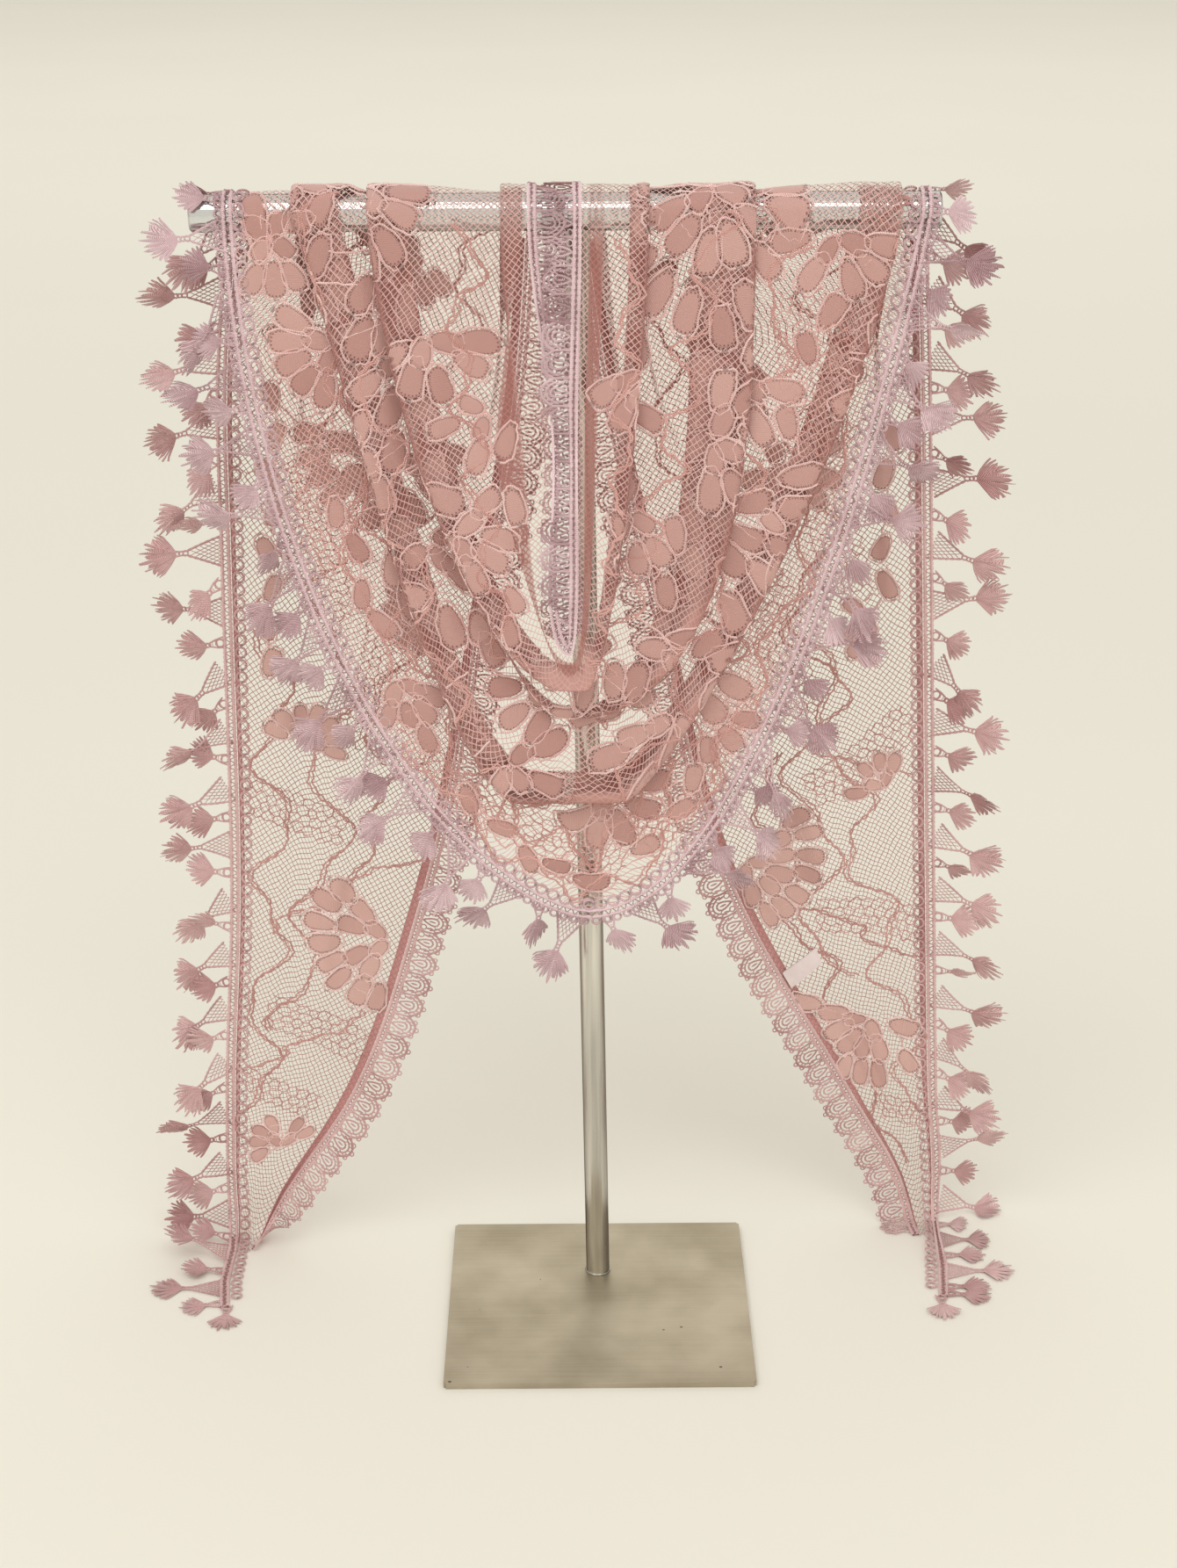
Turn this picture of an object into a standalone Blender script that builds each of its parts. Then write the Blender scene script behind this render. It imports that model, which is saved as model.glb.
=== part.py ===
"""Triangular lace shawl draped over a steel T-bar display stand.

Metres, +Z up. The origin is the centre of the base plate's underside, +X is to the
viewer's right and the shawl's front faces -Y. The shawl is one triangle of lace: its
point hangs in front, the middle of its long edge sags in front as a cowl, and its two
long tails go over the bar and hang behind it down to the floor.
"""

import math
from collections import namedtuple

import bmesh
import bpy
import numpy as np

MM = 0.001
UP = np.array([0.0, 0.0, 1.0])

# ---------------------------------------------------------------- driving sizes (metres)
PLATE_SIDE = 0.1524
PLATE_THICK = 0.003
PLATE_CORNER_R = 0.0012

POLE_R = 0.006
POLE_SIDES = 32
POLE_Y = 0.0295  # the pole stands behind the plate's middle
POLE_LEAN = math.radians(0.83)  # towards -X, as it was welded

BAR_R = 0.0085
BAR_Z = 0.550
BAR_X = (-0.182, 0.156)
BAR_END_R = 0.0010

WALL = 0.0010  # thickness of the cloth's wall
SEAM_GAP = 0.0003
LAYER_PITCH = 0.0014  # from one layer of a pleat to the next, on the bar
BAR_CHORD = 0.0003  # what the steps round the bar take off the gap under the cloth
FIRST_LAYER = SEAM_GAP + BAR_CHORD + WALL / 2  # middle of the layer that lies on the bar
FLOOR_GAP = 0.0003

# ---------------------------------------------------------------- folds of the front
# The cloth hangs in nested U-shaped folds. One row for each line that runs along them,
# from the scalloped cowl edge to the fringed edge, in millimetres. "out" lines are a
# pleat's outer fold and "in" lines its inner, hidden one.
# bar_x: where the line leaves the bar; power_x, power_z: how square its curve is, across
# and down; flat: how much of its bottom is level; waist: sideways shift half way down;
# before, after: layers of cloth under it on the bar, before and after the fold;
# swell: extra depth half way down.
Fold = namedtuple("Fold", "name bar_x power_x power_z flat waist before after swell")
LEFT_FOLDS = [
    Fold("cowl_edge", -30.5, 2.6, 3.0, 0, 9, 2, 2, -2),
    Fold("roll_out", -43.0, 2.3, 2.2, 0, 4, 2, 1, 1),
    Fold("roll_in", -31.5, 2.3, 2.2, 0, -16, 1, 0, 1),
    Fold("cowl_fold_out", -102.5, 1.6, 1.5, 5, 0, 2, 1, 3),
    Fold("cowl_fold_in", -83.0, 1.6, 1.5, 5, 0, 1, 0, 1),
    Fold("side_fold_out", -87.0, 1.6, 1.5, 5, 0, 0, 0, 0),
    Fold("side_fold_in", -94.0, 1.6, 1.5, 5, 0, 0, 0, 0),
    Fold("deep_fold_out", -136.5, 1.7, 0.85, 26, 0, 2, 1, 2),
    Fold("deep_fold_in", -113.0, 1.8, 0.95, 20, 0, 1, 0, 0),
    Fold("fringed_edge", -161.5, 1.6, 1.9, 0, 0, 0, 0, 1),
]
RIGHT_FOLDS = [
    Fold("cowl_edge", -5.5, 2.6, 3.0, 0, -2, 2, 2, 1),
    Fold("roll_out", -1.0, 2.4, 2.4, 0, -2, 2, 2, 1),
    Fold("roll_in", 4.5, 2.2, 2.0, 0, -2, 2, 2, 1),
    Fold("cowl_fold_out", 25.5, 1.5, 1.4, 8, 0, 2, 1, 3),
    Fold("cowl_fold_in", 15.0, 1.6, 1.5, 5, 0, 1, 0, 1),
    Fold("side_fold_out", 73.0, 2.0, 3.0, 5, 0, 2, 1, 2),
    Fold("side_fold_in", 43.0, 2.0, 3.0, 5, 0, 1, 0, 0),
    Fold("deep_fold_out", 138.5, 1.25, 1.3, 25, 0, 2, 1, 2),
    Fold("deep_fold_in", 118.0, 1.3, 1.3, 20, 0, 1, 0, 0),
    Fold("fringed_edge", 146.0, 2.0, 1.1, 0, 0, 0, 0, 1),
]
# The lowest point of each line: where it is, how far forward of the bar's face, and the
# share of the way down at which the bar's tight layers have come loose.
Low = namedtuple("Low", "x z before after loose")
LOWEST = [
    Low(-12, 351, 27.4, 27.4, 0.98),
    Low(-11, 347, 27.8, 27.8, 0.98),
    Low(-12, 341, 28.2, 28.2, 0.98),
    Low(-12, 334, 30.5, 27.0, 0.78),
    Low(-11, 346, 23.5, 20.5, 0.78),
    Low(-11, 317, 19.5, 17.0, 0.78),
    Low(-11, 323, 14.5, 12.5, 0.78),
    Low(-12, 272, 15.0, 12.5, 0.78),
    Low(-11, 288, 9.5, 7.0, 0.78),
    Low(-4, 213, 3.0, 3.0, 0.78),
]
LOOSENING = 0.38  # share of the way that this takes
BETWEEN = (1, 0, 3, 0, 3, 0, 3, 0, 3)  # extra rows inside each layer between two lines
FOLD_REACH = 1.0 * MM  # rows beside a fold line
CLIMB_GAP = 1.3 * MM  # clear of the folds on each side where a layer climbs over them
STANDS_UP = 3.5 * MM  # a fold that has drawn out to less than this stands up as a step
FRONT_STEPS = 28
BOTTOM_CROWD = 1.25  # the steps lie closer together where the folds turn, at the bottom
WRAP_STEPS = 3  # over each quarter of the bar

# ---------------------------------------------------------------- the tails
# One row for each section of a tail, from the back of the bar (share 0) to its tip (1),
# in millimetres: x of its inner, scalloped edge and of its outer, fringed edge.
Section = namedtuple("Section", "share inner_x outer_x")
LEFT_TAIL = [
    Section(0.00, -30.5, -161.5),
    Section(0.14, -37.0, -171.0),
    Section(0.30, -52.0, -174.5),
    Section(0.63, -91.0, -181.0),
    Section(0.83, -131.0, -190.0),
    Section(0.95, -173.0, -192.5),
    Section(1.00, -184.0, -191.0),
]
RIGHT_TAIL = [
    Section(0.00, -5.5, 146.0),
    Section(0.14, 6.0, 152.0),
    Section(0.30, 26.0, 157.5),
    Section(0.63, 74.0, 168.5),
    Section(0.83, 134.0, 175.5),
    Section(0.95, 168.0, 181.0),
    Section(1.00, 173.0, 180.0),
]
TAIL_STEPS = 15
TAIL_FOLDS_SHUT = 0.13  # share of the tail's length at which its folds have drawn out
TAIL_SHUT_STEPS = 3
TAIL_OPENS_BY = 0.36  # where the pleats' layers have spread out side by side
TAIL_EASES = (0.16, 0.45)  # where they come together again in one surface
TAIL_WAVE = 0.28  # depth of the waves that are left of a pleat, per width of it
TAIL_WAVE_MOST = 0.0075
TAIL_FLATTENS = (0.55, 0.93)  # where the waves run out
TAIL_BEND_R = 0.014  # where the tail turns forward onto the floor
TAIL_FLOOR_RUN = 0.008
LEFT_TAIL_FOOT_Y = 0.076
RIGHT_TAIL_FOOT_Y = 0.087

# ---------------------------------------------------------------- trims
FRINGE_HEAD = 0.0045  # width of the fringe's corded heading
TRIM_THICK = 0.0009
TRIM_GAP = 0.0006  # seam between the cloth's edge and a heading
BAR_LIFT = 0.0005  # the headings' short straight steps stand this clear of the bar
PENDANT_GAP = 0.0072  # between the roots of neighbouring pendants
FIRST_PENDANT = 0.0040
# A pendant's sections: share of its length and width across it.
Pendant = namedtuple("Pendant", "length root_width sections")
LONG_PENDANT = Pendant(0.0385, 0.0110, ((0.42, 0.0028), (0.78, 0.0165), (1.0, 0.0090)))
SHORT_PENDANT = Pendant(0.0235, 0.0060, ((0.30, 0.0032), (0.66, 0.0145), (1.0, 0.0080)))
# One row for each pendant in turn: how far it swings along the edge and leans forward,
# as slopes, and how far it is twisted, in degrees.
Hang = namedtuple("Hang", "swing lean twist")
HANGS = [
    Hang(0.00, 0.10, 12),
    Hang(0.08, 0.22, -38),
    Hang(-0.05, 0.02, 25),
    Hang(0.04, 0.16, 48),
    Hang(-0.09, 0.12, -20),
    Hang(-0.02, 0.25, -55),
    Hang(0.06, 0.05, 8),
]
PENDANT_DROOP = 0.30  # how much the pendants' own weight turns them down, as a slope
# Past each tail's tip the fringe's heading runs on over the floor, forward.
LEFT_FRINGE_END = ((-0.1915, 0.0240), (-0.1885, -0.0020))  # (x, y)
RIGHT_FRINGE_END = ((0.1780, 0.0340), (0.1745, 0.0030))

SCALLOP_HEAD = 0.0035
SCALLOP_PITCH = 0.0125
SCALLOP_DEPTH = 0.0140
SCALLOP_TIP = 0.0050
SCALLOP_INSET = 0.0030  # on the bar a scallop grows from the middle of its step
# How far an edging is turned back from the cloth's plane, in degrees, at shares of its
# length: round the cowl from the top of the bar on the left to it on the right, and down
# each tail.
Turn = namedtuple("Turn", "share back")
COWL_TURNS = [
    Turn(0.00, 9),
    Turn(0.07, 10),
    Turn(0.10, 34),
    Turn(0.15, 84),
    Turn(0.20, 90),
    Turn(0.45, 90),
    Turn(0.50, 86),
    Turn(0.55, 76),
    Turn(0.59, 60),
    Turn(0.62, 54),
    Turn(0.66, 60),
    Turn(0.70, 68),
    Turn(0.74, 66),
    Turn(0.80, 48),
    Turn(0.86, 24),
    Turn(0.92, 2),
    Turn(1.00, -2),
]
LEFT_TAIL_TURNS = [
    Turn(0.00, -9),
    Turn(0.03, -9),
    Turn(0.06, -14),
    Turn(0.20, -8),
    Turn(0.35, 0),
    Turn(1.00, 0),
]
RIGHT_TAIL_TURNS = [
    Turn(0.00, -2),
    Turn(0.04, -4),
    Turn(0.20, -3),
    Turn(0.35, 0),
    Turn(1.00, 0),
]

LABEL_SIZE = (0.0200, 0.0105)
LABEL_THICK = 0.0010
LABEL_SHARE = 0.72  # how far down the right tail it is sewn
LABEL_RISE = 0.36  # it slopes up away from the hem


# ---------------------------------------------------------------- small helpers
def clear_scene():
    for old in list(bpy.data.objects):
        bpy.data.objects.remove(old, do_unlink=True)


def material(name, colour, roughness, metallic=0.0):
    made = bpy.data.materials.new(name)
    made.use_nodes = True
    shader = made.node_tree.nodes["Principled BSDF"]
    shader.inputs["Base Color"].default_value = (*colour, 1.0)
    shader.inputs["Roughness"].default_value = roughness
    shader.inputs["Metallic"].default_value = metallic
    return made


def mesh_object(name, points, faces, finish, smooth_angle=None):
    mesh = bpy.data.meshes.new(name)
    mesh.from_pydata([tuple(p) for p in points], [], faces)
    mesh.update()
    mesh.materials.append(finish)
    if smooth_angle is not None:
        mesh.shade_smooth()
        mesh.set_sharp_from_angle(angle=smooth_angle)
    made = bpy.data.objects.new(name, mesh)
    bpy.context.scene.collection.objects.link(made)
    return made


def smooth(x):
    x = np.clip(x, 0.0, 1.0)
    return x * x * (3.0 - 2.0 * x)


def mix(a, b, share):
    return a + (b - a) * share


def unit(v):
    return v / np.maximum(np.linalg.norm(v, axis=-1, keepdims=True), 1e-12)


# ---------------------------------------------------------------- the cloth's middle surface
def hanging_curve(fold, low, shares):
    """(x, z) of a line that hangs from the bar (share 0) to its lowest point (1)."""
    turn = np.linspace(0.0, math.pi / 2, 400)
    reach = fold.bar_x - low.x
    level = math.copysign(fold.flat, reach)
    x = low.x + level + (reach - level) * np.cos(turn) ** (2 / fold.power_x)
    z = BAR_Z / MM - (BAR_Z / MM - low.z) * np.sin(turn) ** (2 / fold.power_z)
    x = np.append(x, low.x)
    z = np.append(z, low.z)
    run = np.concatenate([[0.0], np.cumsum(np.hypot(np.diff(x), np.diff(z)))])
    run /= run[-1]
    x = np.interp(shares, run, x)
    z = np.interp(shares, run, z)
    return np.stack([x + fold.waist * np.sin(math.pi * shares) ** 2, z], -1) * MM


def front_lines(folds, shares):
    """Places of the fold lines on one side: (line, share, 2) and depths before and after."""
    places, before, after = [], [], []
    sag = smooth(shares)
    for fold, low in zip(folds, LOWEST):
        pitch = LAYER_PITCH * smooth((low.loose - shares) / LOOSENING)
        places.append(hanging_curve(fold, low, shares))
        belly = fold.swell * MM * np.sin(math.pi * shares) ** 2
        before.append(mix(FIRST_LAYER, low.before * MM, sag) + belly + fold.before * pitch)
        after.append(mix(FIRST_LAYER, low.after * MM, sag) + belly + fold.after * pitch)
    return np.array(places), np.array(before), np.array(after)


def rows_across(places, before, after, ease):
    """Rows of (x, z, depth) across the cloth, from the fold lines' places and depths.

    ease is 1 where the layers hang free, and 0 where they lie tight on the bar, so that a
    layer there climbs over the next pleat only after it has cleared the last one.
    """
    count = len(places)
    heading = unit(places[-1] - places[0])
    along = ((places - places[0]) * heading).sum(-1)
    rows = []
    for i in range(count - 1):
        step = places[i + 1] - places[i]
        length = np.maximum(np.linalg.norm(step, axis=-1), 1e-6)
        reach = np.minimum(FOLD_REACH / length, 0.3)
        run = along[i + 1] - along[i]
        rising = (run > 0) & (i % 2 == 0)
        run = np.where(np.abs(run) < 1e-6, 1e-6, run)
        start = (along[: i + 1].max(0) + CLIMB_GAP - along[i]) / run
        end = (along[i + 1 :].min(0) - CLIMB_GAP - along[i]) / run
        low, room = reach * 1.5, 1.0 - reach * 3.0
        start = np.where(rising, np.clip(start, low, low + 0.65 * room), low + 0.2 * room)
        last = low + 0.85 * room
        end = np.where(rising, np.clip(end, start + 0.1 * room, last), low + 0.5 * room)
        even = [mix(reach, 1 - reach, (k + 1) / (BETWEEN[i] + 1)) for k in range(BETWEEN[i])]
        tight = [start, end, (low + room + end) / 2] if BETWEEN[i] == 3 else even
        inner = [mix(t, e, ease) for t, e in zip(tight, even)]
        parts = [reach if i else 0.0] + inner + [1.0 - reach] * (i < count - 2)
        for part in parts:
            share = part + 0 * length
            climb = smooth((share - start) / (end - start))
            climb = np.where(rising, mix(climb, share, ease), share)
            depth = mix(after[i], before[i + 1], climb)
            rows.append(np.concatenate([places[i] + step * share[..., None], depth[..., None]], -1))
    rows.append(np.concatenate([places[-1], before[-1][..., None]], -1))
    return np.array(rows)


def stand_up(rows):
    """Turns each folded-back layer that has drawn out to almost nothing into a step."""
    for i in range(1, len(BETWEEN), 2):
        first = sum(2 + between for between in BETWEEN[:i])
        above, start, end, below = rows[first - 1 : first + 3].copy()
        drawn = np.linalg.norm((end - start)[..., :2], axis=-1, keepdims=True)
        step = 1.0 - smooth(drawn / STANDS_UP)
        rows[first] = mix(start, mix(above, below, 1 / 3), step)
        rows[first + 1] = mix(end, mix(above, below, 2 / 3), step)
    return rows


def front_points(side, shares):
    """Points of the front on one side, (row, share, 3), from the bar's face downwards."""
    folds = LEFT_FOLDS if side < 0 else RIGHT_FOLDS
    rows = stand_up(rows_across(*front_lines(folds, shares), smooth(shares * 1.6)))
    x, z, depth = rows[..., 0], rows[..., 1], rows[..., 2]
    return np.stack([x, POLE_Y - BAR_R - depth, z], -1)


def bar_points(side, angles):
    """Points on the bar at angles from its front (0) over its top (90) to its back (180)."""
    folds = LEFT_FOLDS if side < 0 else RIGHT_FOLDS
    rows = rows_across(*front_lines(folds, np.zeros(1)), np.zeros(1))[:, 0]
    x, depth = rows[:, None, 0], rows[:, None, 2]
    radius = BAR_R + depth
    y = POLE_Y - radius * np.cos(angles)
    z = BAR_Z + radius * np.sin(angles)
    return np.stack([x + 0 * y, y, z], -1)


def tail_path(foot_y, shares):
    """(y, z) and outward normal (y, z) of a tail's side view, from the bar to its tip."""
    top = np.array([POLE_Y + BAR_R, BAR_Z])
    lean = math.atan2(foot_y - top[0], BAR_Z)
    foot = np.array([foot_y, TAIL_BEND_R * (1 + math.sin(lean)) + FLOOR_GAP + WALL / 2])
    down = foot - top
    straight = np.linalg.norm(down)
    heading = math.atan2(down[1], down[0])
    bend = heading + math.pi  # from falling to running forward along the floor
    arc = TAIL_BEND_R * bend
    s = shares * (straight + arc + TAIL_FLOOR_RUN)
    along = np.minimum(s, straight)
    turned = np.clip((s - straight) / TAIL_BEND_R, 0.0, bend)
    past = np.clip(s - straight - arc, 0.0, None)
    angle = heading - turned
    y = top[0] + math.cos(heading) * along - past
    z = top[1] + math.sin(heading) * along
    y = y + TAIL_BEND_R * (np.sin(heading) - np.sin(angle))
    z = z + TAIL_BEND_R * (np.cos(angle) - np.cos(heading))
    return y, z, -np.sin(angle), np.cos(angle)


def tail_points(side, shares):
    """Points of a tail, (row, share, 3), from the bar's back down to its tip."""
    sections = LEFT_TAIL if side < 0 else RIGHT_TAIL
    folds = LEFT_FOLDS if side < 0 else RIGHT_FOLDS
    foot_y = LEFT_TAIL_FOOT_Y if side < 0 else RIGHT_TAIL_FOOT_Y
    at = [section.share for section in sections]
    inner = smooth_table(at, [section.inner_x * MM for section in sections], shares)
    outer = smooth_table(at, [section.outer_x * MM for section in sections], shares)
    bar_x = np.array([fold.bar_x * MM for fold in folds])
    width = np.abs(np.diff(bar_x))
    cut = np.concatenate([[0.0], np.cumsum(width)]) / width.sum()
    on_bar = (bar_x - bar_x[0]) / (bar_x[-1] - bar_x[0])
    places = inner + on_bar[:, None] * (outer - inner)
    places = np.stack([places, 0.0 * places], -1)
    before = [FIRST_LAYER + LAYER_PITCH * fold.before + 0 * shares for fold in folds]
    after = [FIRST_LAYER + LAYER_PITCH * fold.after + 0 * shares for fold in folds]
    pleated = rows_across(places, np.array(before), np.array(after), 0.0 * shares)
    crests = [0.0] * len(folds)
    for i in range(1, len(folds) - 1, 2):
        crests[i] = min(TAIL_WAVE * min(width[i - 1], width[i]), TAIL_WAVE_MOST)
    even = rows_across(shut_folds(places), np.array(before), np.array(after), 0.0 * shares)
    spread = np.linspace(0.0, 1.0, len(pleated))
    wave = wave_through(cut, crests, spread)[:, None] * np.abs(outer - inner) / width.sum()
    shut = smooth(shares / TAIL_FOLDS_SHUT)
    opened = smooth((shares - TAIL_FOLDS_SHUT) / (TAIL_OPENS_BY - TAIL_FOLDS_SHUT))
    first, last = TAIL_EASES
    eased = smooth((shares - first) / (last - first))
    first, last = TAIL_FLATTENS
    flat = smooth((shares - first) / (last - first))
    x = mix(pleated[..., 0], even[..., 0], shut)
    x = mix(x, inner + spread[:, None] * (outer - inner), opened)
    depth = mix(pleated[..., 2], even[..., 2], shut)
    depth = mix(depth, FIRST_LAYER + wave, eased) * (1.0 - flat)
    rows = stand_up(np.stack([x, 0.0 * x, depth], -1))
    x, depth = rows[..., 0], rows[..., 2]
    y, z, normal_y, normal_z = tail_path(foot_y, shares)
    return np.stack([x, y + normal_y * depth, z + normal_z * depth], -1)


def shut_folds(places):
    """Fold lines whose folded-back layers have drawn out to nothing."""
    across = places[-1] - places[0]
    widths = (np.diff(places, axis=0) * np.sign(across)).sum(-1, keepdims=True)
    reached = np.cumsum(np.maximum(widths, 0.0), axis=0)
    met = places.copy()
    met[1:] = places[0] + across * reached / reached[-1]
    return met


def wave_through(at, heights, shares):
    """A wave that turns at each of the given heights."""
    at = np.array(at)
    heights = np.array(heights)
    index = np.clip(np.searchsorted(at, shares, side="right") - 1, 0, len(at) - 2)
    t = (shares - at[index]) / (at[index + 1] - at[index])
    return mix(heights[index], heights[index + 1], smooth(t))


def smooth_table(at, values, shares):
    """Reads a short table with a smooth curve through its rows (Catmull-Rom slopes)."""
    at = np.array(at)
    values = np.array(values)
    slopes = np.gradient(values, at)
    index = np.clip(np.searchsorted(at, shares, side="right") - 1, 0, len(at) - 2)
    span = at[index + 1] - at[index]
    t = (shares - at[index]) / span
    a, b = values[index], values[index + 1]
    ma, mb = slopes[index] * span, slopes[index + 1] * span
    return (
        (2 * t**3 - 3 * t**2 + 1) * a
        + (t**3 - 2 * t**2 + t) * ma
        + (3 * t**2 - 2 * t**3) * b
        + (t**3 - t**2) * mb
    )


def front_grid():
    """The whole front, from the top of the bar on the left round to it on the right."""
    half = FRONT_STEPS // 2
    shares = 1.0 - np.linspace(1.0, 0.0, half + 1) ** BOTTOM_CROWD
    quarter = np.linspace(math.pi / 2 - SEAM_GAP / 2 / BAR_R, 0.0, WRAP_STEPS + 1)[:-1]
    left = np.concatenate([bar_points(-1, quarter), front_points(-1, shares)], 1)
    right = np.concatenate([bar_points(1, quarter), front_points(1, shares)], 1)
    return np.concatenate([left, right[:, -2::-1]], 1)


def tail_grid(side):
    """A tail, from the top of the bar to its tip."""
    shut = np.linspace(0.0, TAIL_FOLDS_SHUT, TAIL_SHUT_STEPS + 1)
    shares = np.append(shut, np.linspace(TAIL_FOLDS_SHUT, 1.0, TAIL_STEPS - TAIL_SHUT_STEPS + 1)[1:])
    quarter = np.linspace(
        math.pi / 2 + SEAM_GAP / 2 / BAR_R, math.pi, WRAP_STEPS + 1
    )[:-1]
    return np.concatenate([bar_points(side, quarter), tail_points(side, shares)], 1)


def wall(name, grid, finish):
    """A closed wall of the cloth's thickness about a grid of points."""
    rows, steps = grid.shape[:2]
    faces = []
    for r in range(rows - 1):
        for c in range(steps - 1):
            a, b = r * steps + c, r * steps + c + 1
            d, e = b + steps, a + steps
            falling = np.linalg.norm(grid[r, c] - grid[r + 1, c + 1])
            rising = np.linalg.norm(grid[r, c + 1] - grid[r + 1, c])
            faces += [(a, b, d), (a, d, e)] if falling < rising else [(a, b, e), (b, d, e)]
    made = mesh_object(name, grid.reshape(-1, 3), faces, finish, math.radians(50))
    solid = made.modifiers.new("cloth", "SOLIDIFY")
    solid.thickness = WALL
    solid.offset = 0.0
    solid.use_even_offset = False
    solid.use_rim = True
    return made


# ---------------------------------------------------------------- trims along an edge
Frames = namedtuple("Frames", "points tangents outward normals run")


def edge(grid, row, neighbour, floor_run=()):
    """Frames along an edge of a grid, and on past its end over the floor."""
    line = grid[row]
    outward = line - grid[neighbour]
    if floor_run:
        side = math.copysign(1.0, outward[-1, 0])
        more = [(x, y, FLOOR_GAP + TRIM_THICK / 2) for x, y in floor_run]
        line = np.concatenate([line, more])
        outward = np.concatenate([outward, [(side, 0.0, 0.0)] * len(more)])
    run = np.concatenate([[0], np.cumsum(np.linalg.norm(np.diff(line, axis=0), axis=1))])
    tangents = unit(np.gradient(line, run, axis=0))
    return Frames(line, tangents, unit(outward), None, run)


def frames_at(frames, at):
    """Square frames at given runs along an edge."""

    def read(values):
        return np.stack([np.interp(at, frames.run, values[:, k]) for k in range(3)], -1)

    tangents = unit(read(frames.tangents))
    outward = read(frames.outward)
    outward = unit(outward - (outward * tangents).sum(-1, keepdims=True) * tangents)
    normals = np.cross(tangents, outward)
    return Frames(read(frames.points), tangents, outward, normals, at)


def lift_off_floor(ring):
    """Moves a ring of points up where it would reach below the floor."""
    lowest = min(p[2] for p in ring)
    rise = max(FLOOR_GAP - lowest, 0.0)
    return [p + np.array([0.0, 0.0, rise]) for p in ring]


def steps_along(line, roots):
    """Runs along an edge at which its heading has a section: the roots' and the bar's."""
    on_bar = line.run[line.points[:, 2] > BAR_Z - 0.001]
    steps = [TRIM_GAP, line.run[-1] - TRIM_GAP] + [r for root in roots for r in root]
    for r in on_bar[1:-1]:
        clear = min(abs(r - s) for s in steps) > 0.001
        if clear and not any(a < r < b for a, b in roots):
            steps.append(r)
    return np.array(sorted(steps))


def off_the_bar(points):
    """Points moved clear of the crossbar, where they lie on it."""
    out = points - np.array([0.0, POLE_Y, BAR_Z])
    out[:, 0] = 0.0
    near = smooth((points[:, 2:] - BAR_Z + 0.002) / 0.002)
    return points + unit(out) * near * BAR_LIFT


def toothed_strip(name, frames, head, teeth, finish, back=None):
    """A closed strip along an edge, with a tooth on each outer face that is given one.

    teeth holds, for the steps that have one, a list of rings of four points that go on
    from the strip's outer face. back is how far the strip is turned back at each frame.
    """
    half = TRIM_THICK / 2
    verts, faces = [], []
    bases = strip_bases(frames, back)
    for p, o, n in zip(bases, frames.outward, frames.normals):
        corners = ((0.0, half), (head, half), (head, -half), (0.0, -half))
        verts += lift_off_floor([p + o * out + n * up for out, up in corners])
    last = 4 * (len(frames.points) - 1)
    for a in range(0, last, 4):
        b = a + 4
        faces += [(a, b, b + 1, a + 1), (a + 2, b + 2, b + 3, a + 3), (a + 3, b + 3, b, a)]
        ring = (a + 1, b + 1, b + 2, a + 2)
        for points in teeth.get(a // 4, ()):
            start = len(verts)
            verts += lift_off_floor(points)
            new = tuple(range(start, start + 4))
            faces += [(ring[k], ring[k - 3], new[k - 3], new[k]) for k in range(4)]
            ring = new
        faces.append(ring)
    faces += [(0, 1, 2, 3), (last + 3, last + 2, last + 1, last)]
    return mesh_object(name, verts, faces, finish)


def strip_bases(frames, back=None):
    """Where a heading starts: a seam's width off the cloth's edge, turned back or not."""
    if back is None:
        return frames.points + frames.outward * TRIM_GAP
    flat = frames.outward * np.cos(back) + frames.normals * np.sin(back)
    return frames.points + flat * (TRIM_GAP + TRIM_THICK / 2 * np.abs(np.sin(back)))


def pendant_rings(pendant, hang, frames, i, forward):
    """A fan pendant's rings of four points, from its neck to the end of its fan."""
    p = (frames.points[i] + frames.points[i + 1]) / 2
    t = unit(frames.tangents[i] + frames.tangents[i + 1])
    o = unit(frames.outward[i] + frames.outward[i + 1])
    n = unit(frames.normals[i] + frames.normals[i + 1]) * forward
    lies = smooth(1.0 - (p[2] - 0.004) / 0.02)  # on the floor, or on the bar
    away = np.array([0.0, p[1] - POLE_Y, p[2] - BAR_Z])
    if p[2] > BAR_Z - 0.002:
        lies = 1.0
        o = o + unit(away) * 0.06
    hangs = (hang.swing * t + hang.lean * n - PENDANT_DROOP * UP) * (1.0 - lies)
    heading = unit(o + hangs)
    across = unit(t - (t @ heading) * heading)
    face = np.cross(across, heading)
    rings = []
    for share, width in pendant.sections:
        turn = math.radians(hang.twist) * share * (1.0 - lies)
        w = (across * math.cos(turn) + face * math.sin(turn)) * width / 2
        h = (face * math.cos(turn) - across * math.sin(turn)) * TRIM_THICK / 2
        c = p + o * (TRIM_GAP + FRINGE_HEAD) + heading * share * pendant.length
        rings.append([c - w + h, c + w + h, c + w - h, c - w - h])
    return rings


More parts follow.
